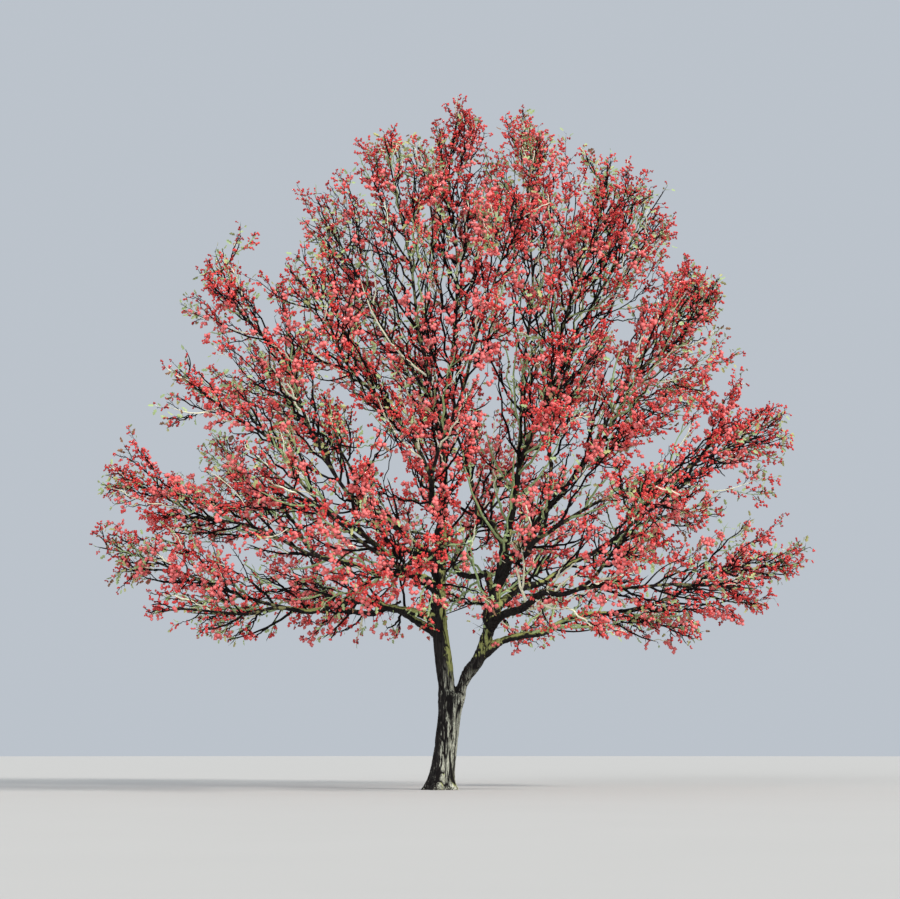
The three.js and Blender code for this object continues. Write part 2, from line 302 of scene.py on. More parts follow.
@dataclass
class Facets:
    """The corners and faces of a mesh in the making, with faces of one number of sides in each array."""

    corners: np.ndarray
    faces: list[np.ndarray]

    @staticmethod
    def joined(parts: Sequence["Facets"]) -> "Facets":
        """Joins several into one.

        Args:
            parts: The parts, which keep their order.

        Returns:
            All their corners and faces.
        """
        starts = np.cumsum([0] + [len(part.corners) for part in parts])
        faces = [loop + start for part, start in zip(parts, starts) for loop in part.faces]
        return Facets(np.concatenate([part.corners for part in parts]), faces)

    @staticmethod
    def copies(corners: np.ndarray, *kinds: np.ndarray) -> "Facets":
        """Gives many copies of one shape, from all the copies' corners and the kinds of faces of one."""
        starts = np.arange(len(corners))[:, None, None] * corners.shape[1]
        return Facets(corners.reshape(-1, 3), [(kind + starts).reshape(-1, kind.shape[1]) for kind in kinds])

    def mesh(self, name: str, smooth: bool) -> bpy.types.Mesh:
        """Makes the mesh.

        Args:
            name: The mesh's name.
            smooth: Whether its faces are shaded smoothly.

        Returns:
            A new mesh.
        """
        mesh = bpy.data.meshes.new(name)
        sizes = np.concatenate([np.full(len(loop), loop.shape[1]) for loop in self.faces])
        indices = np.concatenate([loop.ravel() for loop in self.faces])
        mesh.vertices.add(len(self.corners))
        mesh.vertices.foreach_set("co", self.corners.astype(np.float32).ravel())
        mesh.loops.add(len(indices))
        mesh.loops.foreach_set("vertex_index", indices.astype(np.int32))
        mesh.polygons.add(len(sizes))
        mesh.polygons.foreach_set("loop_start", (np.cumsum(sizes) - sizes).astype(np.int32))
        mesh.polygons.foreach_set("loop_total", sizes.astype(np.int32))
        mesh.polygons.foreach_set("use_smooth", np.full(len(sizes), smooth))
        mesh.update(calc_edges=True)
        return mesh


def tube_faces(rings: int, sides: int) -> tuple[np.ndarray, np.ndarray, np.ndarray]:
    """Numbers the faces of a tube, whose corners go ring by ring and end with its tip.

    Args:
        rings: How many rings it has.
        sides: How many corners each ring has.

    Returns:
        The quads between the rings, the triangles at the tip and the face that closes the foot.
    """
    side = np.arange(sides)
    after = (side + 1) % sides
    lower = np.arange(rings - 1)[:, None] * sides
    quads = np.stack([lower + side, lower + after, lower + sides + after, lower + sides + side], axis=-1)
    rim = (rings - 1) * sides
    tips = np.stack([rim + side, rim + after, np.full(sides, rim + sides)], axis=-1)
    return quads.reshape(-1, 4), tips, side[::-1][None]


def tubes(points: np.ndarray, radii: np.ndarray, sides: int, capped: bool = False) -> Facets:
    """Makes tapering tubes that end in a point.

    Args:
        points: Each tube's middle line, as an array of tubes by knots by three.
        radii: The radius at each knot. The last knot is the tip.
        sides: How many sides each tube has.
        capped: Whether the foot is closed too.

    Returns:
        The tubes' corners and faces.
    """
    count, knots = points.shape[:2]
    along = unit(np.gradient(points, axis=1))
    aside = np.eye(3)[np.argmin(np.abs(points[:, -1] - points[:, 0]), axis=1)]
    normal = unit(np.cross(along, aside[:, None]))
    binormal = np.cross(along, normal)
    angle = FULL_TURN * np.arange(sides) / sides
    ring = normal[:, :, None] * np.cos(angle)[:, None] + binormal[:, :, None] * np.sin(angle)[:, None]
    rings = points[:, :-1, None] + radii[:, :-1, None, None] * ring[:, :-1]
    corners = np.concatenate([rings.reshape(count, -1, 3), points[:, -1:]], axis=1)
    quads, tips, foot = tube_faces(knots - 1, sides)
    return Facets.copies(corners, quads, tips, foot) if capped else Facets.copies(corners, quads, tips)


def corner_values(mesh: bpy.types.Mesh, name: str) -> np.ndarray:
    """Reads three numbers for each corner of a mesh.

    Args:
        mesh: The mesh.
        name: Which numbers, such as its corners' places or normals.

    Returns:
        One row for each corner.
    """
    values = np.empty(3 * len(mesh.vertices), np.float32)
    mesh.vertices.foreach_get(name, values)
    return values.reshape(-1, 3).astype(float)


def move_corners(mesh: bpy.types.Mesh, places: np.ndarray) -> None:
    """Moves a mesh's corners to new places."""
    mesh.vertices.foreach_set("co", places.astype(np.float32).ravel())
    mesh.update()


def mark_crevices(mesh: bpy.types.Mesh, values: np.ndarray) -> None:
    """Tells the bark's finish how far out of a fissure each corner is, from 0 to 1."""
    mesh.attributes.new(CREVICE, "FLOAT", "POINT").data.foreach_set("value", values.astype(np.float32))


def add_piece(
    mesh: bpy.types.Mesh, finish: bpy.types.Material, stands_for: Sequence[str]
) -> None:
    """Adds one finished piece of the tree to the scene.

    Args:
        mesh: Its mesh, whose name the piece takes.
        finish: Its material.
        stands_for: The frame's nodes that it stands for.
    """
    piece = bpy.data.objects.new(mesh.name, mesh)
    bpy.context.scene.collection.objects.link(piece)
    mesh.materials.append(finish)
    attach(piece, BODY)
    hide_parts(*stands_for)
    mesh.calc_loop_triangles()
    LOG.info("%s: %d triangles", piece.name, len(mesh.loop_triangles))


# Finishes


class Wire:
    """A socket's value in a material, on which plain arithmetic adds Math nodes."""

    def __init__(self, sheet: "NodeSheet", socket: bpy.types.NodeSocket) -> None:
        """Holds a socket and the sheet that it is on."""
        self.sheet = sheet
        self.socket = socket

    def _math(self, operation: str, first: "Value", second: "Value") -> "Wire":
        """Adds one Math node."""
        return self.sheet.node("ShaderNodeMath", {"operation": operation}, {0: first, 1: second})

    def __add__(self, other: "Value") -> "Wire":
        """Adds a value."""
        return self._math("ADD", self, other)

    def __sub__(self, other: "Value") -> "Wire":
        """Takes a value away."""
        return self._math("SUBTRACT", self, other)

    def __rsub__(self, other: "Value") -> "Wire":
        """Takes this from a value."""
        return self._math("SUBTRACT", other, self)

    def __mul__(self, other: "Value") -> "Wire":
        """Multiplies by a value."""
        return self._math("MULTIPLY", self, other)

    __radd__ = __add__
    __rmul__ = __mul__

    def at_least(self, other: "Value") -> "Wire":
        """Gives the larger of this and a value."""
        return self._math("MAXIMUM", self, other)

    def between(self, low: float, high: float) -> "Wire":
        """Rises smoothly from 0 at low to 1 at high."""
        inputs = {"Value": self, "From Min": low, "From Max": high}
        return self.sheet.node("ShaderNodeMapRange", {"interpolation_type": "SMOOTHSTEP"}, inputs)


Value = Union[Wire, float, Sequence[float]]


@dataclass(frozen=True)
class Pattern:
    """A noise over a piece, finer as its scale grows, and drawn out along an axis whose stretch is small."""

    scale: float
    detail: float = 3.0
    roughness: float = 0.55
    stretch: Vector = (1.0, 1.0, 1.0)


class NodeSheet:
    """The nodes of one material, round its principled shader."""

    def __init__(self, name: str) -> None:
        """Starts a material with nothing but its shader.

        Args:
            name: The material's name.
        """
        self.material = bpy.data.materials.new(name)
        self.material.use_nodes = True
        self.tree = self.material.node_tree
        self.shader = self.tree.nodes["Principled BSDF"]

    def _fill(self, socket: bpy.types.NodeSocket, value: Value) -> None:
        """Links a wire to a socket, or sets the socket to a plain value.

        Args:
            socket: The socket to fill.
            value: The wire, number, vector or colour that it takes.
        """
        if isinstance(value, Wire):
            self.tree.links.new(value.socket, socket)
        elif socket.type == "RGBA":
            socket.default_value = (*value, 1.0)
        else:
            socket.default_value = value

    def node(
        self, kind: str, settings: dict[str, Any], inputs: dict[SocketKey, Value], output: SocketKey = 0
    ) -> Wire:
        """Adds one node.

        Args:
            kind: Blender's name for the node's type.
            settings: The node's own settings, which are set first.
            inputs: Values or wires for its sockets, by name or number.
            output: The name or number of the socket that is handed back.

        Returns:
            A wire from that output.
        """
        node = self.tree.nodes.new(kind)
        for name, value in settings.items():
            setattr(node, name, value)
        for key, value in inputs.items():
            self._fill(node.inputs[key], value)
        return Wire(self, node.outputs[output])

    def mix(self, factor: Value, first: Value, second: Value) -> Wire:
        """Mixes two colours."""
        return self.node("ShaderNodeMix", {"data_type": "RGBA"}, {0: factor, 6: first, 7: second}, 2)

    def place(self, stretch: Sequence[float] = (1.0, 1.0, 1.0)) -> Wire:
        """Gives the place on the piece in metres, stretched for a pattern."""
        spot = self.node("ShaderNodeTexCoord", {}, {}, "Object")
        return self.node("ShaderNodeVectorMath", {"operation": "MULTIPLY"}, {0: spot, 1: stretch})

    def cloud(self, pattern: Pattern) -> Wire:
        """Gives a pattern's value, from 0 to 1.

        Args:
            pattern: The noise to lay over the piece.

        Returns:
            A wire that varies from place to place.
        """
        inputs = {
            "Vector": self.place(pattern.stretch),
            "Scale": pattern.scale,
            "Detail": pattern.detail,
            "Roughness": pattern.roughness,
        }
        return self.node("ShaderNodeTexNoise", {}, inputs)

    def bump(self, height: Wire, strength: float, distance: float) -> Wire:
        """Turns a height into a normal."""
        return self.node("ShaderNodeBump", {}, {"Strength": strength, "Distance": distance, "Height": height})

    def finish(self, **sockets: Value) -> bpy.types.Material:
        """Feeds the shader and hands the material back.

        Args:
            sockets: Values or wires by the shader's socket names, with _ for a space.

        Returns:
            The finished material.
        """
        for name, value in sockets.items():
            self._fill(self.shader.inputs[name.replace("_", " ").title().replace("Ior", "IOR")], value)
        return self.material


@dataclass(frozen=True)
class BarkFinish:
    """Fissured dark bark: pale streaks on the bole, drawn mostly on the side that faces the key lamp as a
    painted highlight; lichen on limbs that face up, with more on the lamp's side as a painted highlight; and
    painted shade in the fissures and the flutes' hollows.
    """

    name: str
    dark: Colour = (0.006, 0.005, 0.005)
    plate: Colour = (0.028, 0.025, 0.023)
    streak: Colour = (0.54, 0.55, 0.44)
    lichen: Colour = (0.30, 0.32, 0.11)
    grain: Pattern = Pattern(90.0, 4.0, 0.65, (1.0, 1.0, 0.35))
    fibre: Pattern = Pattern(118.0, stretch=(1.0, 1.0, 0.032))
    cover: Pattern = Pattern(5.5, 4.0, 0.6, (1.0, 1.0, 0.3))
    fibre_share: float = 0.7
    plate_band: Pair = (0.34, 0.7)
    # The key lamp's way: the pale streaks and the lichen gather on the side that faces it, as a painted
    # highlight.
    key_light_way: Vector = (0.84, -0.42, 0.34)
    shade: float = -0.12
    streak_cover: float = 0.25
    streak_sun: float = 0.27
    streak_band: Pair = (0.73, 0.79)
    streak_end: Pair = (0.95, 1.45)
    streak_strength: Pair = (0.4, 0.55)
    streak_grain: Pair = (0.36, 0.62)
    lichen_rise: float = 0.22
    lichen_side: float = 0.2
    lichen_grain: float = 0.15
    lichen_off_bole: float = 0.18
    lichen_band: Pair = (0.715, 0.795)
    lichen_strength: float = 0.85
    fissure_shade_band: Pair = (0.1, 0.75)
    roughness: Pair = (0.78, 0.18)
    shine: float = 0.1
    bump_fibre: float = 0.6
    bump_strength: float = 0.6
    bump_depth: float = 0.004

    def material(self) -> bpy.types.Material:
        """Makes the finish.

        Returns:
            The finished material.
        """
        sheet = NodeSheet(self.name)
        grain, fibre, cover = (sheet.cloud(pattern) for pattern in (self.grain, self.fibre, self.cover))
        crevice = sheet.node("ShaderNodeAttribute", {"attribute_name": CREVICE}, {}, "Fac")
        facing = sheet.node("ShaderNodeNewGeometry", {}, {}, "Normal")
        rise = sheet.node("ShaderNodeSeparateXYZ", {}, {0: facing}, "Z")
        towards = {0: facing, 1: self.key_light_way}
        side = sheet.node("ShaderNodeVectorMath", {"operation": "DOT_PRODUCT"}, towards, "Value")
        height = sheet.node("ShaderNodeSeparateXYZ", {}, {0: sheet.place()}, "Z")
        bole = 1.0 - height.between(*self.streak_end)
        wood = fibre * self.fibre_share + grain * (1.0 - self.fibre_share)
        colour = sheet.mix(wood.between(*self.plate_band), self.dark, self.plate)
        # Painted highlight: the pale streaks are drawn mostly on the side that faces the key lamp.
        pale = fibre + cover * self.streak_cover + side.at_least(self.shade) * self.streak_sun
        least, more = self.streak_strength
        strength = least + more * grain.between(*self.streak_grain)
        streaks = pale.between(*self.streak_band) * crevice * bole * strength
        colour = sheet.mix(streaks, colour, self.streak)
        # Lichen, with more of it on the key lamp's side as a painted highlight.
        damp = cover + self.lichen_rise * rise + self.lichen_side * side + self.lichen_grain * grain
        lichen = (damp - self.lichen_off_bole * bole).between(*self.lichen_band)
        colour = sheet.mix(lichen * self.lichen_strength, colour, self.lichen)
        smooth, rough = self.roughness
        ridges = fibre * self.bump_fibre + grain * (1.0 - self.bump_fibre)
        return sheet.finish(
            # Painted shade: the fissures and the flutes' hollows are darkened towards the dark bark colour.
            base_color=sheet.mix(crevice.between(*self.fissure_shade_band), self.dark, colour),
            roughness=smooth + rough * grain,
            specular_ior_level=self.shine,
            normal=sheet.bump(ridges, self.bump_strength, self.bump_depth),
        )


@dataclass(frozen=True)
class TwigFinish:
    """Thin bark on twigs, flecked along its length."""

    name: str
    share: float
    flecks: Pattern
    bark: Colour
    fleck: Colour
    fleck_band: Pair = (0.5, 0.66)
    skin: Pattern = Pattern(160.0, 2.0)
    roughness: Pair = (0.7, 0.25)
    shine: float = 0.05
    bump_strength: float = 0.4
    bump_depth: float = 0.002

    def material(self) -> bpy.types.Material:
        """Makes the finish.

        Returns:
            The finished material.
        """
        sheet = NodeSheet(self.name)
        flecks = sheet.cloud(self.flecks)
        smooth, rough = self.roughness
        return sheet.finish(
            base_color=sheet.mix(flecks.between(*self.fleck_band), self.bark, self.fleck),
            roughness=smooth + rough * flecks,
            specular_ior_level=self.shine,
            normal=sheet.bump(sheet.cloud(self.skin), self.bump_strength, self.bump_depth),
        )


@dataclass(frozen=True)
class HawFinish:
    """The waxy skin of ripe haws, which differ a little from one to the next."""

    name: str
    share: float
    size: float
    skin: Colour
    blush: Colour
    ripeness: Pattern = Pattern(22.0, 1.0)
    speckle: Pattern = Pattern(420.0, 2.0)
    ripeness_share: float = 0.8
    blush_band: Pair = (0.34, 0.66)
    roughness: Pair = (0.4, 0.22)
    shine: float = 0.3
    wax: float = 0.12
    bump_strength: float = 0.15
    bump_depth: float = 0.001

    def material(self) -> bpy.types.Material:
        """Makes the finish.

        Returns:
            The finished material.
        """
        sheet = NodeSheet(self.name)
        ripeness, speckle = sheet.cloud(self.ripeness), sheet.cloud(self.speckle)
        blush = ripeness * self.ripeness_share + speckle * (1.0 - self.ripeness_share)
        smooth, rough = self.roughness
        return sheet.finish(
            base_color=sheet.mix(blush.between(*self.blush_band), self.skin, self.blush),
            roughness=smooth + rough * speckle,
            specular_ior_level=self.shine,
            normal=sheet.bump(speckle, self.bump_strength, self.bump_depth),
            coat_weight=self.wax * ripeness,
        )


@dataclass(frozen=True)
class LeafFinish:
    """A withering leaf, mottled from its blade's colour towards brown."""

    name: str
    share: float
    blade: Colour
    withered: Colour
    blotch: Pattern = Pattern(60.0)
    vein: Pattern = Pattern(300.0, 2.0)
    blotch_share: float = 0.8
    withered_band: Pair = (0.4, 0.66)
    roughness: Pair = (0.55, 0.25)
    bump_strength: float = 0.3
    bump_depth: float = 0.001

    def material(self) -> bpy.types.Material:
        """Makes the finish.

        Returns:
            The finished material.
        """
        sheet = NodeSheet(self.name)
        blotch, vein = sheet.cloud(self.blotch), sheet.cloud(self.vein)
        withered = blotch * self.blotch_share + vein * (1.0 - self.blotch_share)
        smooth, rough = self.roughness
        return sheet.finish(
            base_color=sheet.mix(withered.between(*self.withered_band), self.blade, self.withered),
            roughness=smooth + rough * blotch,
            normal=sheet.bump(vein, self.bump_strength, self.bump_depth),
        )


TWIG_FLECKS = Pattern(45.0)
STEM_BARK = TwigFinish("stem_bark", 1.0, Pattern(14.0), (0.014, 0.010, 0.011), (0.22, 0.22, 0.10))


class TwigTint(Enum):
    """The tints that twigs come in."""

    DARK = TwigFinish("twig_dark", 0.78, TWIG_FLECKS, (0.005, 0.004, 0.004), (0.013, 0.009, 0.009))
    # Pale twigs: partly real lichen, partly a painted highlight that stands for sunlit twigs.
    LICHEN = TwigFinish("twig_lichen_and_highlight", 0.075, TWIG_FLECKS, (0.72, 0.71, 0.52), (0.86, 0.85, 0.68))
    OLIVE = TwigFinish("twig_olive", 0.16, TWIG_FLECKS, (0.27, 0.36, 0.16), (0.38, 0.48, 0.26))


class HawTint(Enum):
    """The tints that haws come in."""

    RED = HawFinish("haw_red", 0.34, 1.0, (0.53, 0.028, 0.026), (0.63, 0.045, 0.041))
    CRIMSON = HawFinish("haw_crimson", 0.14, 0.95, (0.33, 0.013, 0.013), (0.43, 0.024, 0.024))
    SCARLET = HawFinish("haw_scarlet", 0.26, 1.05, (0.66, 0.050, 0.045), (0.74, 0.080, 0.074))
    CORAL = HawFinish("haw_coral", 0.2, 1.7, (0.74, 0.13, 0.125), (0.82, 0.21, 0.205))


class LeafTint(Enum):
    """The tints that leaves come in."""

    OLIVE = LeafFinish("leaf_olive", 0.68, (0.30, 0.41, 0.17), (0.36, 0.42, 0.20))
    YELLOW = LeafFinish("leaf_yellow", 0.2, (0.36, 0.37, 0.14), (0.40, 0.36, 0.14))
    RUSSET = LeafFinish("leaf_russet", 0.12, (0.24, 0.11, 0.045), (0.14, 0.07, 0.04))


def dealt(seeds: np.ndarray, choice: int, tints: type[Enum]) -> np.ndarray:
    """Deals each seed one of several tints, by the shares that they have.

    Args:
        seeds: One seed for each tuft.
        choice: Which of the seeds' choices decides.
        tints: The tints, each with a finish that has a share.

    Returns:
        Each seed's tint.
    """
    options = list(tints)
    shares = np.cumsum([tint.value.share for tint in options])
    index = np.searchsorted(shares / shares[-1], chance(seeds, choice)).clip(0, len(options) - 1)
    return np.array(options, dtype=object)[index]


# The tree's plan, which is the frame's


@dataclass(frozen=True)
class Crown:
    """The space that the twigs fill: a dome with a slight peak, drawn in where the boughs are level."""

    hub: Vector = (0.09, 0.0, 1.72)
    half_spread: float = 4.21
    half_depth: float = 4.10
    top: float = 8.0
    underside: float = 1.60
    lean: float = 0.045
    roundness: float = 1.8
    low_draw_in: float = 0.84
    low_draw_angle: float = 18.0
    peak_draw_in: float = 0.042
    peak_angle: float = 78.0
    peak_width: float = 9.0
    heart: float = 0.1
    thinning: float = 0.12
    bare_heart: Pair = (0.1, 0.34)
    opening: Pair = (0.6, 2.05)
    opening_reach: Pair = (0.25, 0.8)
    fringe: Pair = (-0.2, 0.45)
    overhang: float = 0.03
    least_distance: float = 1e-9

    def reach(self, ways: np.ndarray) -> np.ndarray:
        """Gives how far the crown reaches from its hub.

        Args:
            ways: Unit vectors from the hub.

        Returns:
            The reach along each of them.
        """
        power = self.roundness
        level = np.hypot(ways[..., 0] / self.half_spread, ways[..., 1] / self.half_depth)
        upright = np.abs(ways[..., 2]) / (self.top - self.hub[2])
        full = (level**power + upright**power) ** (-1.0 / power)
        angle = np.degrees(np.arcsin(np.clip(ways[..., 2], -1.0, 1.0)))
        rise = smooth_step(angle, 0.0, self.low_draw_angle)
        dip = self.peak_draw_in * np.exp(-(((angle - self.peak_angle) / self.peak_width) ** 2))
        return full * (self.low_draw_in + (1.0 - self.low_draw_in) * rise) * (1.0 - dip)

    def point(self, azimuth: float, elevation: float, share: float = 1.0) -> np.ndarray:
        """Gives a point by its heading from the hub.

        Args:
            azimuth: The heading's azimuth, in degrees.
            elevation: The heading's elevation, in degrees.
            share: How much of the crown's reach lies between the hub and the point.

        Returns:
            The point.
        """
        way = heading(azimuth, elevation)
        out = way * self.reach(way) * share
        return np.array(self.hub) + out + ACROSS * self.lean * out[2]

    def depth(self, points: np.ndarray) -> np.ndarray:
        """Gives how far out points lie.

        Args:
            points: Places in the crown.

        Returns:
            A number for each, from 0 at the hub to 1 at the crown's edge.
        """
        out = points - np.array(self.hub)
        out = out - ACROSS * self.lean * out[..., 2:]
        far = np.maximum(np.linalg.norm(out, axis=-1), self.least_distance)
        return far / self.reach(out / far[..., None])

    def closeness(self, points: np.ndarray) -> np.ndarray:
        """Gives how thickly twigs bear.

        Args:
            points: Places in the crown.

        Returns:
            A number for each, from 0 in the heart, the open lower middle and underneath to 1 further out.
        """
        across, height = self.opening
        below, above = self.fringe
        gap = np.hypot(points[..., 0] - across, points[..., 2] - height)
        clear = smooth_step(points[..., 2], self.underside + below, self.underside + above)
        outer = smooth_step(self.depth(points), *self.bare_heart)
        return outer * smooth_step(gap, *self.opening_reach) * clear

    def holds(self, points: np.ndarray, margin: np.ndarray) -> np.ndarray:
        """Tells which points lie in the crown, each with a margin above its underside."""
        return (self.depth(points) <= 1.0) & (points[..., 2] - margin >= self.underside)


@dataclass(frozen=True)
class Trunk:
    """The bole: it leans to the right, with root lobes below and a wide fork above."""

    fork_height: float = 1.06
    lean: float = 0.127
    radius: float = 0.119
    fork_half_width: float = 0.153
    fork_widening: float = 0.24
    flare: float = 0.078
    flare_height: float = 0.11
    flare_lobes: int = 5
    flare_depth: float = 0.42

    def middle(self, heights: ArrayLike) -> np.ndarray:
        """Gives the bole's middle line.

        Args:
            heights: One height or several.

        Returns:
            A point for each height.
        """
        heights = np.asarray(heights, float)
        level = np.zeros_like(heights)
        return np.stack([self.lean * heights / self.fork_height, level, heights], axis=-1)

    def surface(self, heights: np.ndarray, angles: np.ndarray) -> np.ndarray:
        """Gives the bole's surface, without its bark's relief.

        Args:
            heights: Heights, which may be a column.
            angles: Angles round the middle, in radians, which may be a row.

        Returns:
            A point for each height and angle.
        """
        lobes = 1.0 - self.flare_depth * np.cos(self.flare_lobes * angles)
        roots = self.flare * np.exp(-np.maximum(heights, 0.0) / self.flare_height) * lobes
        widening = smooth_step(heights, self.fork_height - self.fork_widening, self.fork_height)
        wide = (self.fork_half_width - self.radius) * widening
        across = np.cos(angles) * (self.radius + roots + wide)
        deep = np.sin(angles) * (self.radius + roots)
        return self.middle(heights) + np.stack([across, deep, np.zeros_like(across)], axis=-1)


@dataclass(frozen=True)
class Leader:
    """One of the two limbs that stand on the fork, with the headings of the sprays at its tip."""

    side: str
    stations: tuple[Vector, ...]
    base_radius: float
    tip_radius: float
    first_bough: float
    aims: tuple[Triple, ...]


@dataclass(frozen=True)
class Tier:
    """One ring of boughs round the leaders, with angles in degrees."""

    name: str
    boughs: int
    azimuth: float
    elevation: float
    front_rise: float
    pair: float
    start_rise: float
    enters: float
    radius: float


@dataclass
class Limb:
    """A woody limb along a path."""

    CHECKS_PER_STEP = 4
    name: str
    path: Path
    base_radius: float
    tip_radius: float
    steps: int

    def radius(self, shares: ArrayLike) -> np.ndarray:
        """Gives the radius at shares of the length."""
        return self.base_radius + (self.tip_radius - self.base_radius) * np.asarray(shares)

    def clearance(self, points: np.ndarray) -> np.ndarray:
        """Gives how far points lie from the limb's surface.

        Args:
            points: Places near the limb.

        Returns:
            A distance for each, which is less than 0 inside the limb.
        """
        shares = np.linspace(0.0, 1.0, self.CHECKS_PER_STEP * self.steps + 1)
        gaps = np.linalg.norm(points[:, None] - self.path.points(shares)[None], axis=-1)
        return (gaps - self.radius(shares)).min(axis=1)


@dataclass
class Spray:
    """A mass of twigs on one stem, from a limb's tip to the crown's edge."""

    name: str
    limb: Limb
    foot: np.ndarray
    target: np.ndarray
    stem: Path
    seed: int


@dataclass
class Skeleton:
    """The leaders, boughs and stems that carry the twigs."""

    crown: Crown
    trunk: Trunk
    clearance: float = 0.0003
    leaders: tuple[Leader, ...] = (
        Leader(
            side="right",
            stations=(
                (0.203, 0.0, 0.0003),
                (0.203, 0.0, 0.04),
                (0.268, 0.0, 0.17),
                (0.410, 0.005, 0.36),
                (0.520, 0.010, 0.64),
                (0.585, 0.005, 0.96),
                (0.690, -0.015, 1.46),
                (0.800, 0.010, 2.00),
                (0.890, 0.030, 2.56),
            ),
            base_radius=0.076,
            tip_radius=0.030,
            first_bough=1.48,
            aims=((0.0, 66.0, 1.03), (-48.0, 66.0, 1.0), (-5.0, 83.0, 0.97)),
        ),
        Leader(
            side="left",
            stations=(
                (0.075, 0.0, 0.0),
                (0.075, 0.0, 0.04),
                (0.055, 0.0, 0.20),
                (0.020, 0.0, 0.45),
                (-0.008, 0.0, 0.70),
                (-0.025, 0.010, 1.00),
                (0.005, 0.025, 1.65),
                (0.030, -0.010, 2.35),
                (0.010, 0.0, 3.00),
            ),
            base_radius=0.101,
            tip_radius=0.032,
            first_bough=1.71,
            aims=((152.0, 68.0, 1.0), (232.0, 74.0, 1.0), (180.0, 89.0, 1.0)),
        ),
    )
    tiers: tuple[Tier, ...] = (
        Tier(
            name="low",
            boughs=6,
            azimuth=15.0,
            elevation=7.0,
            front_rise=9.0,
            pair=6.0,
            start_rise=22.0,
            enters=0.50,
            radius=0.046,
        ),
        Tier(
            name="mid",
            boughs=5,
            azimuth=18.0,
            elevation=29.0,
            front_rise=3.0,
            pair=5.0,
            start_rise=12.0,
            enters=0.42,
            radius=0.042,
        ),
        Tier(
            name="high",
            boughs=4,
            azimuth=-12.0,
            elevation=52.0,
            front_rise=0.0,
            pair=-4.0,
            start_rise=-4.0,
            enters=0.42,
            radius=0.037,
        ),
    )
    leader_steps: int = 12
    bough_steps: int = 6
    bough_rise: float = 0.16
    bough_tip: float = 0.026
    bough_handles: Pair = (0.35, 0.3)
    bough_wave: float = 0.035
    bough_turns: float = 1.5
    bough_stations: int = 7
    stem_radius: float = 0.017
    stem_gap: float = 0.002
    stem_start: float = 0.08
    stem_bends: tuple[float, ...] = (0.3, 0.52, 0.76)
    stem_wander: float = 0.03
    leader_limbs: list[Limb] = field(default_factory=list)
    bough_limbs: list[Limb] = field(default_factory=list)
    sprays: list[Spray] = field(default_factory=list)

    def __post_init__(self) -> None:
        """Lays out every limb and stem."""
        self._add_leaders()
        self._add_boughs()
        for number, (limb, plan) in enumerate(zip(self.leader_limbs, self.leaders)):
            self._add_sprays(limb, plan.aims, FirstSeed.TOP_SPRAYS + LIMB_SEED_STEP * number)

    def _add_leaders(self) -> None:
        """Stands the leaders on the fork."""
        foot = np.array([0.0, 0.0, self.trunk.fork_height + self.clearance])
        for plan in self.leaders:
            path = Path(np.array(plan.stations) + foot)
            limb = Limb(f"leader_{plan.side}", path, plan.base_radius, plan.tip_radius, self.leader_steps)
            self.leader_limbs.append(limb)

    def _add_boughs(self) -> None:
        """Sets the boughs round the leaders, ring by ring, each on the leader of its own side."""
        heights = [plan.first_bough for plan in self.leaders]
        for number, tier in enumerate(self.tiers):
            for order in range(tier.boughs):
                azimuth = tier.azimuth + order * 360.0 / tier.boughs
                which = 0 if math.cos(math.radians(azimuth)) > 0 else 1
                start = self.leader_limbs[which].path.at_height(heights[which])
                seed = FirstSeed.BOUGHS + LIMB_SEED_STEP * number + order
                self._add_bough(tier, f"bough_{tier.name}_{order + 1}", azimuth, start, seed)
                heights[which] += self.bough_rise

    def _add_bough(self, tier: Tier, name: str, azimuth: float, start: np.ndarray, seed: int) -> None:
        """Lays out one bough, with the two sprays at its tip.

        Args:
            tier: The ring that it is in.
            name: Its node's name.
            azimuth: The way that it points, in degrees.
            start: Where it leaves its leader.
            seed: Decides its wave.
        """
        elevation = tier.elevation + tier.front_rise * math.sin(math.radians(azimuth)) ** 2
        path = self._bough_path(tier, (azimuth, elevation), start, seed)
        limb = Limb(name, path, tier.radius, self.bough_tip, self.bough_steps)
        half = 90.0 / tier.boughs
        aims = (
            (azimuth - half, elevation + tier.pair, 1.0),
            (azimuth + half, elevation - tier.pair, 1.0),
        )
        self._add_sprays(limb, aims, FirstSeed.BOUGH_SPRAYS + LIMB_SEED_STEP * len(self.bough_limbs))
        self.bough_limbs.append(limb)

    def _bough_path(self, tier: Tier, way: Pair, start: np.ndarray, seed: int) -> Path:
        """Lays out one bough, from its leader's middle to where its sprays begin.

        Args:
            tier: The ring that it is in.
            way: Its azimuth and elevation, in degrees.
            start: Where it leaves its leader.
            seed: Decides its wave.

        Returns:
            The bough's middle line.
        """
        azimuth, elevation = way
        end = self.crown.point(azimuth, elevation, tier.enters)
        length = np.linalg.norm(end - start)
        leave, arrive = self.bough_handles
        bends = np.stack([
            start,
            start + heading(azimuth, elevation + tier.start_rise) * leave * length,
            end - heading(azimuth, elevation) * arrive * length,
            end,
        ])
        times = np.linspace(0.0, 1.0, Path.DIVISIONS + 1)
        left = 1 - times
        weights = np.stack([left**3, 3 * times * left**2, 3 * times**2 * left, times**3])
        curve = weights.T @ bends
        run = np.concatenate([[0.0], np.cumsum(np.linalg.norm(np.diff(curve, axis=0), axis=1))])
        shares = np.linspace(0.0, 1.0, self.bough_stations)
        points = np.stack([np.interp(shares * run[-1], run, curve[:, axis]) for axis in range(3)], axis=-1)
        size = self.bough_wave * length * np.sin(np.pi * shares)
        phase = FULL_TURN * (self.bough_turns * shares + chance(seed, PlanDraw.BOUGH_WAVE))
        points += np.outer(size * np.sin(phase), UP)
        points += np.outer(size * np.cos(phase), heading(azimuth + 90.0, 0.0))
        return Path(points)

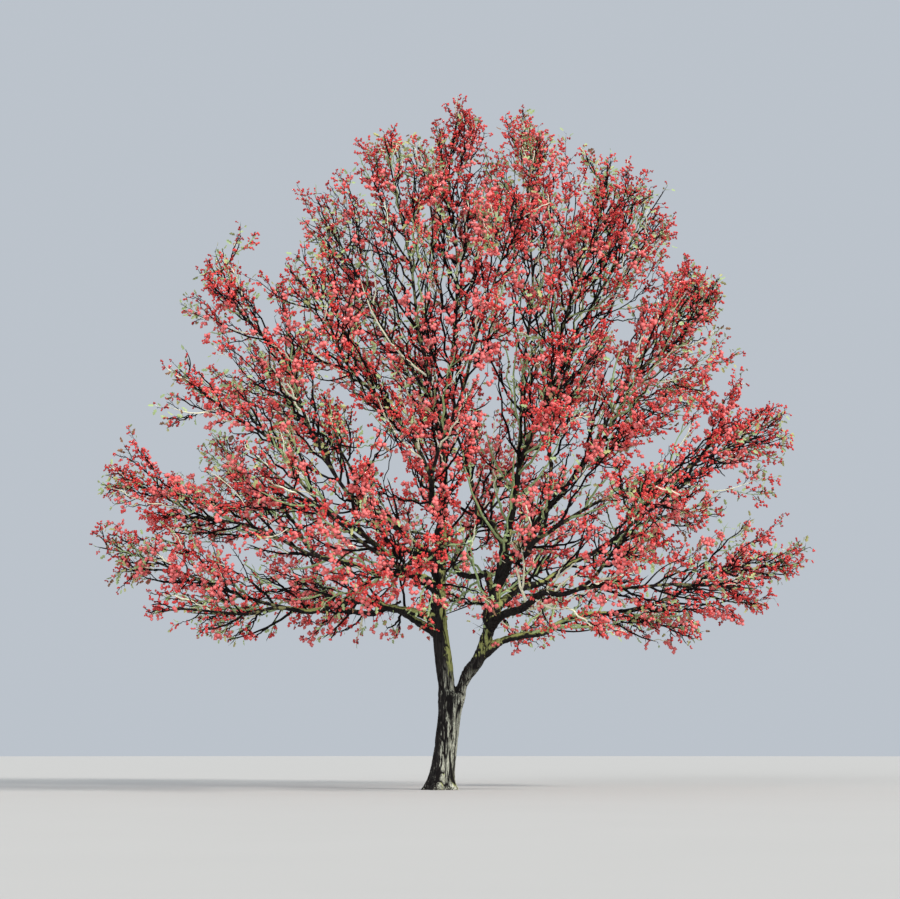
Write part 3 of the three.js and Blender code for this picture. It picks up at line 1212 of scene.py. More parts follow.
    def _add_sprays(self, limb: Limb, aims: Sequence[Triple], first_seed: int) -> None:
        """Stands sprays side by side on a limb's tip.

        Args:
            limb: The limb that carries them.
            aims: Each spray's heading from the hub, in degrees, and its share of the crown's reach.
            first_seed: The first spray's seed.
        """
        normal = limb.path.tangents(1.0)[0]
        tip = limb.path.points(1.0)[0]
        targets = np.stack([self.crown.point(*aim) for aim in aims])
        offset = (self.stem_radius + self.stem_gap) / math.sin(math.pi / len(aims))
        for number, target in enumerate(targets):
            outward = target - targets.mean(axis=0)
            outward = unit(outward - normal * (outward @ normal)) * offset
            foot = tip + normal * self.clearance + outward
            seed = first_seed + number
            length = np.linalg.norm(target - foot)
            stations = [foot, foot + normal * self.stem_start]
            for bend, share in enumerate(self.stem_bends):
                aside = sway(seed, PlanDraw.STEM_BENDS + 3 * bend + np.arange(3))
                stations.append(foot + (target - foot) * share + aside * self.stem_wander * length)
            name = limb.name.replace("bough", "spray").replace("leader", "spray_top") + "abc"[number]
            self.sprays.append(Spray(name, limb, foot, target, Path([*stations, target]), seed))

    def limbs(self) -> list[Limb]:
        """Gives the leaders and the boughs."""
        return [*self.leader_limbs, *self.bough_limbs]

    def spray_names(self) -> list[str]:
        """Gives the names of the sprays' nodes."""
        return [spray.name for spray in self.sprays]


# Twigs


@dataclass(frozen=True)
class TwigOrder:
    """One order of twigs, and how it leaves the order before it. Angles are in degrees."""

    spacing: float
    first: float
    last: float
    share: float
    shortest: float
    longest: float
    shortening: float
    opening: Pair
    zigzag: float
    lift: float
    radius: float
    tip_radius: float
    knots: int
    ragged: float = 0.0
    clear_of_heart: float = 1.0


INNER = TwigOrder(
    spacing=0.14,
    first=0.26,
    last=0.98,
    share=0.55,
    shortest=0.4,
    longest=1.0,
    shortening=0.3,
    opening=(52.0, 20.0),
    zigzag=12.0,
    lift=0.2,
    radius=0.017,
    tip_radius=0.0065,
    knots=10,
    ragged=0.03,
)
SHOOTS = TwigOrder(
    spacing=0.1,
    first=0.06,
    last=0.985,
    share=0.36,
    shortest=0.35,
    longest=1.25,
    shortening=0.45,
    opening=(34.0, 2.0),
    zigzag=17.0,
    lift=0.1,
    radius=0.0146,
    tip_radius=0.0064,
    knots=8,
    ragged=0.065,
)
BRANCH_SHOOTS = replace(
    SHOOTS,
    spacing=0.13,
    first=0.1,
    share=0.6,
    shortest=0.3,
    longest=0.9,
    shortening=0.35,
    opening=(34.0, 4.0),
    radius=0.013,
    tip_radius=0.006,
    ragged=0.06,
)
SIDE = TwigOrder(
    spacing=0.1,
    first=0.1,
    last=0.985,
    share=0.5,
    shortest=0.1,
    longest=0.5,
    shortening=0.6,
    opening=(34.0, 6.0),
    zigzag=19.0,
    lift=0.08,
    radius=0.0096,
    tip_radius=0.0051,
    knots=5,
    ragged=0.04,
)
SPURS = TwigOrder(
    spacing=0.033,
    first=0.16,
    last=1.0,
    share=0.3,
    shortest=0.03,
    longest=0.075,
    shortening=0.3,
    opening=(55.0, 35.0),
    zigzag=14.0,
    lift=0.05,
    radius=0.0055,
    tip_radius=0.0,
    knots=2,
)
SHOOT_SPURS = replace(SPURS, spacing=0.06, first=0.2, share=0.15)
TIP_SPURS = replace(SHOOT_SPURS, first=0.72)
LIMB_SPURS = replace(
    SPURS,
    spacing=0.03,
    first=0.2,
    share=0.1,
    shortest=0.13,
    longest=0.3,
    opening=(70.0, 45.0),
    radius=0.0065,
    tip_radius=0.003,
    clear_of_heart=0.3,
)


@dataclass
class Twigs:
    """Many twigs of one order: middle lines, radii, a seed each, and the tuft that each belongs to."""

    points: np.ndarray
    radii: np.ndarray
    seeds: np.ndarray
    tufts: np.ndarray

    @staticmethod
    def joined(parts: Sequence["Twigs"]) -> "Twigs":
        """Joins several of the same number of knots."""
        return Twigs(*(np.concatenate([getattr(part, one.name) for part in parts]) for one in fields(Twigs)))

    def lengths(self) -> np.ndarray:
        """Gives each twig's length."""
        return np.linalg.norm(np.diff(self.points, axis=1), axis=2).sum(axis=1)

    def picked(self, which: np.ndarray) -> "Twigs":
        """Gives some of the twigs."""
        return Twigs(*(getattr(self, one.name)[which] for one in fields(Twigs)))

    def tips(self) -> np.ndarray:
        """Gives each twig's tip."""
        return self.points[:, -1]

    def ends(self) -> np.ndarray:
        """Gives the unit heading that each twig ends in."""
        return unit(self.points[:, -1] - self.points[:, -2])

    def spots(self, owners: np.ndarray, shares: np.ndarray) -> tuple[np.ndarray, np.ndarray, np.ndarray]:
        """Gives places along twigs.

        Args:
            owners: The twig that each place is on.
            shares: How far along it the place is.

        Returns:
            The points, the headings there and the radii there.
        """
        place = shares * (self.points.shape[1] - 1)
        index = np.minimum(place.astype(int), self.points.shape[1] - 2)
        part = place - index
        low, high = self.points[owners, index], self.points[owners, index + 1]
        radius = self.radii[owners, index] * (1 - part) + self.radii[owners, index + 1] * part
        return low + (high - low) * part[:, None], unit(high - low), radius


@dataclass(frozen=True)
class SourceTwigs:
    """The frame's own twigs, one order finer than its stems."""

    spacing: float = 0.43
    first: float = 0.07
    last: float = 0.92
    longest: float = 0.5
    shortening: float = 0.62
    opening: Pair = (54.0, 26.0)
    sway: float = 0.15
    bare: float = 0.26
    radius: float = 0.011
    taper: float = 0.78
    cluster_radius: float = 0.112
    margin: float = 0.016
    step: float = 0.07
    tries: tuple[float, ...] = (1.0, 0.75, 0.55, 0.4)


@dataclass
class Growth:
    """Grows the sprays' twigs, from their stems down to the spurs that carry haws."""

    skeleton: Skeleton
    rule: SourceTwigs
    stem_knots: int = 26
    stem_stations: int = 12
    stem_root: Pair = (0.9, 0.96)
    stem_taper: tuple[tuple[float, ...], ...] = ((0.0, 0.05, 0.5, 1.0), (0.024, 0.021, 0.016, 0.006))
    twig_knots: int = 10
    place_sway: Pair = (0.2, 0.6)
    length_sway: float = 0.3
    opening_sway: float = 0.2
    least_zigzag: float = 0.5
    steep_lift: float = 3.0
    level_sag: float = 0.7
    thickest: float = 0.8
    nearly_upright: float = math.sqrt(1.0 - 0.05**2)
    heart_loss: float = 0.65
    cell: float = 0.25
    shoot_limit: float = 47.0
    side_limit: float = 158.0
    spur_limit: float = 730.0
    fullness: Pair = (0.72, 1.2)
    stems: Twigs = field(init=False)
    branches: Twigs = field(init=False)
    shoots: Twigs = field(init=False)
    side: Twigs = field(init=False)
    spurs: Twigs = field(init=False)

    def __post_init__(self) -> None:
        """Grows every order in turn."""
        limbs = self._limb_lines()
        self.stems = self._stem_lines()
        self.branches = Twigs.joined([self._source_twigs(), self._grown(limbs, INNER, FirstSeed.INNER)])
        shoots = Twigs.joined([
            self._grown(self.stems, SHOOTS, FirstSeed.SHOOTS),
            self._grown(self.branches, BRANCH_SHOOTS, FirstSeed.BRANCH_SHOOTS),
        ])
        self.shoots = self._evened(shoots, self.shoot_limit)
        self.shoots.tufts = self.shoots.seeds
        self.side = self._evened(self._grown(self.shoots, SIDE, FirstSeed.SIDE), self.side_limit)
        self.side.tufts = self.side.seeds
        spurs = Twigs.joined([
            self._grown(self.side, SPURS, FirstSeed.SIDE_SPURS),
            self._grown(self.shoots, SHOOT_SPURS, FirstSeed.SHOOT_SPURS),
            self._grown(self.branches, TIP_SPURS, FirstSeed.BRANCH_SPURS),
            self._grown(self.stems, TIP_SPURS, FirstSeed.STEM_SPURS),
            self._grown(limbs, LIMB_SPURS, FirstSeed.LIMB_SPURS),
        ])
        spurs.tufts = np.where(spurs.seeds >= FirstSeed.BRANCH_SPURS, spurs.seeds, spurs.tufts)
        self.spurs = self._evened(spurs, self.spur_limit)

    def _crowd(self, places: np.ndarray, weights: np.ndarray) -> np.ndarray:
        """Gives how crowded a flat view of many tips is round each of them.

        Args:
            places: The tips' places in that view.
            weights: How much each tip counts.

        Returns:
            The weight in a square metre round each tip.
        """
        cells = np.floor(places / self.cell).astype(int)
        cells += 1 - cells.min(axis=0)
        counts = np.zeros(cells.max(axis=0) + 2)
        np.add.at(counts, tuple(cells.T), weights)
        around = sum(np.roll(counts, step, (0, 1)) for step in np.ndindex(3, 3))
        return np.roll(around, (-1, -1), (0, 1))[tuple(cells.T)] / (9.0 * self.cell**2)

    def _evened(self, twigs: Twigs, limit: float) -> Twigs:
        """Drops some twigs where many lie behind one another, so that light comes through the whole crown.

        Args:
            twigs: The twigs.
            limit: How many tips may show in a square metre, from the front.

        Returns:
            The twigs that stay: of those behind one another, more of the ones that stand alone from the side.
        """
        crown, tips = self.skeleton.crown, twigs.tips()
        alone = 1.0 / self._crowd(tips[:, 1:], np.ones(len(tips)))
        rise = (tips[:, 2] - crown.underside) / (crown.top - crown.underside)
        most = limit * np.interp(rise, (0.0, 1.0), self.fullness)
        share = most * alone / self._crowd(tips[:, [0, 2]], alone)
        return twigs.picked(chance(twigs.seeds, TwigDraw.EVENED) < share)

    def _stem_lines(self) -> Twigs:
        """Gives the sprays' stems, each run back a little way into the limb that carries it.

        Returns:
            A twig for each spray.
        """
        lines, shares = [], np.linspace(0.0, 1.0, self.stem_knots)
        for spray in self.skeleton.sprays:
            inside = spray.limb.path.points(self.stem_root)
            lines.append(Path([*inside, *spray.stem.even(self.stem_stations)]).even(self.stem_knots))
        radii = np.tile(np.interp(shares, *self.stem_taper), (len(lines), 1))
        seeds = np.array([spray.seed for spray in self.skeleton.sprays], float)
        return Twigs(np.stack(lines), radii, seeds, seeds)

    def _limb_lines(self) -> Twigs:
        """Gives the limbs' middle lines, for the twigs that grow straight from them.

        Returns:
            A twig for each limb.
        """
        limbs = self.skeleton.limbs()
        shares = np.linspace(0.0, 1.0, self.stem_knots)
        points = np.stack([limb.path.points(shares) for limb in limbs])
        radii = np.stack([limb.radius(shares) for limb in limbs])
        seeds = FirstSeed.LIMBS + np.arange(len(limbs), dtype=float)
        return Twigs(points, radii, seeds, seeds)

    def _has_room(self, points: np.ndarray, radii: np.ndarray, number: int) -> bool:
        """Tells whether a twig keeps to its spray's own space, clear of the limbs.

        Args:
            points: Places along the twig.
            radii: How much room each place needs.
            number: The spray's number.

        Returns:
            Whether the whole twig has room.
        """
        size = radii + self.rule.margin
        if not self.skeleton.crown.holds(points, size).all():
            return False
        gaps = []
        for spray in self.skeleton.sprays:
            axis = spray.target - spray.foot
            share = np.clip((points - spray.foot) @ axis / (axis @ axis), 0.0, 1.0)
            gaps.append(np.linalg.norm(points - spray.foot - share[:, None] * axis, axis=1))
        own = gaps.pop(number)
        apart = all((own + 2.0 * size < other).all() for other in gaps)
        return apart and all((limb.clearance(points) > size).all() for limb in self.skeleton.limbs())

    def _source_twigs(self) -> Twigs:
        """Grows the frame's own twigs by its rule.

        Returns:
            The twigs that have room.
        """
        rule, lines, seeds = self.rule, [], []
        for number, spray in enumerate(self.skeleton.sprays):
            count = round(spray.stem.length / rule.spacing)
            for order in range(count):
                share = rule.first + (rule.last - rule.first) * order / (count - 1)
                line = self._source_twig(spray, number, share, order)
                if line is not None:
                    lines.append(line)
                    seeds.append(FirstSeed.SOURCE_TWIGS + SPRAY_SEED_STEP * number + order)
        shares = np.linspace(0.0, 1.0, self.twig_knots)
        radii = np.tile(rule.radius * (1.0 - rule.taper * shares), (len(lines), 1))
        numbers = np.array(seeds, float)
        return Twigs(np.stack(lines), radii, numbers, numbers)

    def _source_twig(self, spray: Spray, number: int, share: float, order: int) -> Optional[np.ndarray]:
        """Grows one of the frame's twigs, shorter where it has no room.

        Args:
            spray: Its spray.
            number: The spray's number.
            share: Where on the stem it stands.
            order: Its number on the stem.

        Returns:
            Its middle line, or nothing where it never has room.
        """
        rule = self.rule
        start, along = spray.stem.points(share)[0], spray.stem.tangents(share)[0]
        around = order * GOLDEN_ANGLE + FULL_TURN * chance(spray.seed, PlanDraw.TWIG_TURN)
        out = turned(unit(np.cross(along, UP)), along, around)
        full = spray.stem.length * rule.longest * (1.0 - rule.shortening * share)
        full *= 1.0 + rule.sway * sway(spray.seed, PlanDraw.TWIG_LENGTHS + order)
        ways = [along * math.cos(math.radians(a)) + out * math.sin(math.radians(a)) for a in rule.opening]
        for shrink in rule.tries:
            step = full * shrink / len(ways)
            path = Path(start + np.concatenate([np.zeros((1, 3)), np.cumsum(ways, axis=0) * step]))
            count = math.ceil(path.length / rule.step)
            shares = np.arange(1, count + 1) / count
            radii = np.where(shares < rule.bare, rule.radius, rule.cluster_radius)
            if self._has_room(path.points(shares), radii, number):
                return path.even(self.twig_knots)
        return None

    def _grown(self, parents: Twigs, order: TwigOrder, first_seed: int) -> Twigs:
        """Grows one order of twigs along the order before it.

        Args:
            parents: The twigs that carry them.
            order: How they grow.
            first_seed: The first new twig's seed.

        Returns:
            The new twigs that lie in the crown.
        """
        lengths = parents.lengths()
        counts = np.maximum(1, np.round(lengths * (order.last - order.first) / order.spacing)).astype(int)
        owners = np.repeat(np.arange(len(counts)), counts)
        place = np.arange(counts.sum()) - np.repeat(np.cumsum(counts) - counts, counts)
        seeds = first_seed + np.arange(len(owners), dtype=float)
        least, more = self.place_sway
        spread = (place + least + more * chance(seeds, TwigDraw.PLACE)) / counts[owners]
        shares = order.first + (order.last - order.first) * spread
        start, along, thick = parents.spots(owners, shares)
        around = place * GOLDEN_ANGLE + FULL_TURN * chance(parents.seeds[owners], TwigDraw.TURN)
        out = turned(square_to(along, self.nearly_upright), along, around)
        full = order.share * lengths[owners] * (1.0 - order.shortening * shares)
        full = np.clip(full, order.shortest, order.longest)
        full *= 1.0 + self.length_sway * sway(seeds, TwigDraw.LENGTH)
        line = self._line(order, seeds, along, out) * (full / (order.knots - 1))[:, None, None]
        size = self._fitted(order, seeds, start, line)
        base = np.minimum(order.radius, self.thickest * thick)[:, None]
        radii = base + (np.minimum(order.tip_radius, base) - base) * np.linspace(0.0, 1.0, order.knots)
        points = start[:, None] + line * size[:, None, None]
        return Twigs(points, radii, seeds, parents.tufts[owners]).picked(size > 0.0)

    def _line(self, order: TwigOrder, seeds: np.ndarray, along: np.ndarray, out: np.ndarray) -> np.ndarray:
        """Bends twigs away from what carries them, in a zigzag.

        Args:
            order: How they grow.
            seeds: The twigs' seeds.
            along: The headings of what carries them.
            out: The headings square to those, towards which they open.

        Returns:
            Their knots, from the first at nought, in steps of one.
        """
        steps = order.knots - 1
        opening = np.radians(np.linspace(*order.opening, steps))[None]
        opening = opening * (1.0 + self.opening_sway * sway(seeds, TwigDraw.OPENING))[:, None]
        ways = along[:, None] * np.cos(opening)[..., None] + out[:, None] * np.sin(opening)[..., None]
        turns = math.radians(order.zigzag) * np.where(np.arange(steps) % 2, 1.0, -1.0)
        turns = turns[None] * (self.least_zigzag + chance(seeds, TwigDraw.ZIGZAG))[:, None]
        ways = ways + np.cross(along, out)[:, None] * turns[..., None]
        lift = order.lift * (self.steep_lift * along[:, 2:] - self.level_sag)
        ways = unit(ways + UP * (lift * np.linspace(0.0, 1.0, steps))[..., None])
        return np.concatenate([np.zeros((len(seeds), 1, 3)), np.cumsum(ways, axis=1)], axis=1)

    def _fitted(self, order: TwigOrder, seeds: np.ndarray, start: np.ndarray, line: np.ndarray) -> np.ndarray:
        """Shortens twigs until they lie in the crown, and drops some where it bears thinly.

        Args:
            order: How they grow.
            seeds: The twigs' seeds.
            start: Where they stand.
            line: Their knots, counted from there.

        Returns:
            The share of its length that each keeps, which is 0 for a twig that is dropped.
        """
        crown, last = self.skeleton.crown, order.knots - 1
        heart = order.clear_of_heart * (crown.heart + crown.thinning * chance(seeds, TwigDraw.HEART))
        edge = 1.0 + crown.overhang - order.ragged * np.sqrt(chance(seeds, TwigDraw.EDGE))
        share = np.zeros(len(seeds))
        for size in self.rule.tries:
            spots = start[:, None] + line[:, [last // 2, last]] * size
            depth = crown.depth(spots[:, 1])
            above = (spots[..., 2] >= crown.underside).all(axis=1)
            fits = above & (depth > heart) & (depth <= edge)
            share = np.where((share == 0.0) & fits, size, share)
        loss = self.heart_loss * order.clear_of_heart * (1.0 - crown.closeness(start + line[:, -1]))
        return np.where(chance(seeds, TwigDraw.KEPT) < 1.0 - loss, share, 0.0)


@dataclass
class TwigWood:
    """The sprays' stems in a bark of their own, and their finer twigs, each order and tint apart."""

    growth: Growth
    stem_bark: TwigFinish = STEM_BARK
    stem_sides: int = 7
    branch_sides: int = 5
    shoot_sides: int = 4
    side_sides: int = 3
    spur_sides: int = 3

    def build(self) -> None:
        """Makes and dresses every piece."""
        growth, nodes = self.growth, self.growth.skeleton.spray_names()
        stems = tubes(growth.stems.points, growth.stems.radii, self.stem_sides)
        add_piece(stems.mesh("stems", True), self.stem_bark.material(), nodes)
        orders = (
            ("branches", growth.branches, self.branch_sides),
            ("shoots", growth.shoots, self.shoot_sides),
            ("side", growth.side, self.side_sides),
            ("spurs", growth.spurs, self.spur_sides),
        )
        for tint in TwigTint:
            finish = tint.value.material()
            for kind, twigs, sides in orders:
                some = twigs.picked(dealt(twigs.tufts, TwigDraw.TINT, TwigTint) == tint)
                mesh = tubes(some.points, some.radii, sides).mesh(f"{tint.value.name}_{kind}", True)
                add_piece(mesh, finish, nodes)


# Haws and leaves


@dataclass
class Tufts:
    """The spurs' ends: those that bear haws, which come in bunches, and those with a last leaf."""

    growth: Growth
    bunch_width: float = 0.4
    bunch_band: Pair = (0.38, 0.62)
    bearing_share: Pair = (0.5, 1.0)
    least_ripe: float = 0.6
    leafy_share: float = 0.95
    bearing: Twigs = field(init=False)
    leafy: Twigs = field(init=False)

    def __post_init__(self) -> None:
        """Tells the spurs apart."""
        spurs, crown = self.growth.spurs, self.growth.skeleton.crown
        bunch = smooth_step(noise(spurs.tips() / self.bunch_width), *self.bunch_band)
        few, many = self.bearing_share
        ripe = self.least_ripe + (1.0 - self.least_ripe) * crown.closeness(spurs.tips())
        bearing = chance(spurs.seeds, TuftDraw.BEARING) < (few + (many - few) * bunch) * ripe
        leafy = ~bearing & (chance(spurs.seeds, TuftDraw.LEAFY) < self.leafy_share)
        self.bearing, self.leafy = spurs.picked(bearing), spurs.picked(leafy)


@dataclass(frozen=True)
class HawSeat:
    """Where a haw sits in its cluster: how far it leans aside and along, and its step along the spur."""

    aside: float
    along: float
    step: float


@dataclass
class Haws:
    """The haws, in clusters at the spurs' ends."""

    tufts: Tufts
    radius: float = 0.0137
    longer: float = 1.15
    sway: float = 0.2
    edge: Pair = (0.84, 0.99)
    inner_size: float = 1.08
    edge_loss: float = 0.17
    stalk: float = 0.8
    hang: float = 0.3
    seats: tuple[HawSeat, ...] = (HawSeat(0.3, 0.8, 0.8), HawSeat(0.9, 0.4, 0.0), HawSeat(0.9, 0.0, -0.8))

    def build(self) -> None:
        """Makes and dresses the haws of each tint."""
        bearing, growth = self.tufts.bearing, self.tufts.growth
        edge = smooth_step(growth.skeleton.crown.depth(bearing.tips()), *self.edge)
        tints = dealt(bearing.tufts, TuftDraw.HAW_TINT, HawTint)
        darker = chance(bearing.tufts, TuftDraw.EDGE_TINT) < edge
        tints[(tints == HawTint.CORAL) & darker] = HawTint.CRIMSON
        size = self.radius * np.array([tint.value.size for tint in tints])
        uneven = 1.0 + self.sway * sway(bearing.seeds, TuftDraw.CLUSTER_SIZE)
        size *= uneven * (self.inner_size - self.edge_loss * edge)
        for tint in HawTint:
            which = tints == tint
            mesh = self._clusters(bearing.picked(which), size[which]).mesh(tint.value.name, True)
            add_piece(mesh, tint.value.material(), growth.skeleton.spray_names())

    def _clusters(self, spurs: Twigs, size: np.ndarray) -> Facets:
        """Makes a cluster of haws at each spur's end.

        Args:
            spurs: The spurs.
            size: The mean radius of each spur's haws.

        Returns:
            The haws' corners and faces.
        """
        along = spurs.ends()
        aside = square_to(along)
        first_turn = FULL_TURN * chance(spurs.seeds, TuftDraw.HAW_TURN)
        berries = []
        for number, seat in enumerate(self.seats):
            out = turned(aside, along, GOLDEN_ANGLE * number + first_turn)
            way = unit(out * seat.aside + along * seat.along)
            middle = spurs.tips() + along * (seat.step * size)[:, None]
            middle = middle + way * (self.stalk * size)[:, None] - UP * (self.hang * size)[:, None]
            radius = size * (1.0 + self.sway * sway(spurs.seeds, TuftDraw.HAW_SIZES + number))
            berries.append(self._berries(middle, radius, way))
        return Facets.joined(berries)

    def _berries(self, middles: np.ndarray, radii: np.ndarray, ways: np.ndarray) -> Facets:
        """Makes round haws, a little longer than wide.

        Args:
            middles: Their middles.
            radii: Their radii.
            ways: The headings that they point in.

        Returns:
            Their corners and faces.
        """
        ends = [(0, 0, self.longer), (0, 0, -self.longer)]
        shape = np.array([(1, 0, 0), (-1, 0, 0), (0, 1, 0), (0, -1, 0), *ends])
        upper = [(4, 0, 2), (4, 2, 1), (4, 1, 3), (4, 3, 0)]
        faces = np.array(upper + [(5, after, before) for _, before, after in upper])
        across = square_to(ways)
        axes = np.stack([across, np.cross(ways, across), ways], axis=1)
        return Facets.copies(middles[:, None] + (shape @ axes) * radii[:, None, None], faces)


@dataclass
class Leaves:
    """The last leaves, at the ends of spurs that bear no haws."""

    tufts: Tufts
    length: float = 0.066
    sway: float = 0.3
    rib: tuple[Pair, ...] = ((0.0, 0.0), (0.5, 0.0), (1.0, 0.0))
    lobe: tuple[Pair, ...] = ((0.34, 0.28), (0.5, 0.12), (0.68, 0.24))
    fold: float = 0.35
    bend: float = 0.18
    droop: float = 0.4
    roll: float = 2.6
    steep: float = 0.95

    def build(self) -> None:
        """Makes and dresses the leaves of each tint."""
        leafy, nodes = self.tufts.leafy, self.tufts.growth.skeleton.spray_names()
        tints = dealt(leafy.tufts, TuftDraw.LEAF_TINT, LeafTint)
        for tint in LeafTint:
            mesh = self._blades(leafy.picked(tints == tint)).mesh(tint.value.name, False)
            add_piece(mesh, tint.value.material(), nodes)

    def _blades(self, spurs: Twigs) -> Facets:
        """Makes lobed leaves, folded along the rib and hanging a little.

        Args:
            spurs: The spurs that they stand on.

        Returns:
            Their corners and faces.
        """
        outline = np.array([*self.rib, *self.lobe, *((along, -out) for along, out in self.lobe)])
        half = [(0, 1, 3), (1, 4, 3), (1, 5, 4), (1, 2, 5)]
        mirrored = [0, 1, 2, 6, 7, 8]
        faces = np.array(half + [tuple(mirrored[corner] for corner in reversed(face)) for face in half])
        along = unit(spurs.ends() + UP * (-self.droop * chance(spurs.seeds, TuftDraw.LEAF_DROOP))[:, None])
        flat = turned(square_to(along, self.steep), along, self.roll * sway(spurs.seeds, TuftDraw.LEAF_ROLL))
        above = np.cross(along, flat)
        size = self.length * (1.0 + self.sway * sway(spurs.seeds, TuftDraw.LEAF_SIZE))[:, None, None]
        height = self.fold * np.abs(outline[:, 1]) - self.bend * outline[:, 0] ** 2
        shape = outline[:, 0][None, :, None] * along[:, None] + outline[:, 1][None, :, None] * flat[:, None]
        shape = shape + height[None, :, None] * above[:, None]
        return Facets.copies(spurs.tips()[:, None] + size * shape, faces)


# Trunk, leaders and boughs


@dataclass(frozen=True)
class Relief:
    """The bark's relief: flutes down the bole, fissures between plates, and the notch of the fork."""

    flute_depth: float = 0.016
    flutes: int = 4
    flute_twist: float = 1.3
    flute_waver: float = 0.5
    flute_waver_rise: float = 3.1
    flute_waver_turn: float = 2.0
    flute_sharpness: float = 0.7
    flute_level: float = 0.62
    flute_fade: Pair = (0.85, 1.7)
    flute_shade: float = 0.6
    fissure_depth: float = 0.009
    fissure_width: float = 0.034
    fissure_length: float = 0.17
    fissure_level: float = 0.7
    fissure_warp: float = 1.2
    fissure_warp_scale: float = 0.6
    fissure_warp_shift: float = 31.0
    fissure_fade: Pair = (1.3, 3.2)
    upper_share: float = 0.35
    plate_edge: float = 0.13
    crack_edge: float = 0.1
    crack_scale: float = 1.9
    crack_shift: float = 17.0
    crack_share: float = 0.25
    grain_depth: float = 0.003
    grain_scale: Vector = (120.0, 120.0, 40.0)
    notch: Pair = (0.165, 1.22)
    notch_size: Pair = (0.06, 0.13)
    notch_depth: float = 0.1

    def fissures(self, points: np.ndarray) -> np.ndarray:
        """Gives how far out of a fissure points are, from 0 in it to 1 on a plate.

        Args:
            points: Places, with the third number along the limb.

        Returns:
            One number for each point.
        """
        across, along = 1.0 / self.fissure_width, 1.0 / self.fissure_length
        spots = points * np.array([across, across, along])
        warp = noise(spots * self.fissure_warp_scale + self.fissure_warp_shift)[:, None] - 0.5
        fissures = np.abs(noise(spots + self.fissure_warp * warp) - 0.5)
        cracks = np.abs(noise(spots * self.crack_scale + self.crack_shift) - 0.5)
        plain = 1.0 - self.crack_share + self.crack_share * np.clip(cracks / self.crack_edge, 0.0, 1.0)
        return np.clip(fissures / self.plate_edge, 0.0, 1.0) * plain

    def flute(self, heights: np.ndarray, angles: np.ndarray) -> np.ndarray:
        """Gives how far out of a flute points of the bole are, from 0 in it to 1 between flutes.

        Args:
            heights: The points' heights.
            angles: Their angles round the bole, in radians.

        Returns:
            One number for each point.
        """
        angles = angles + self.flute_twist * heights
        angles += self.flute_waver * np.sin(self.flute_waver_rise * heights + self.flute_waver_turn * angles)
        return np.abs(np.sin(0.5 * self.flutes * angles)) ** self.flute_sharpness


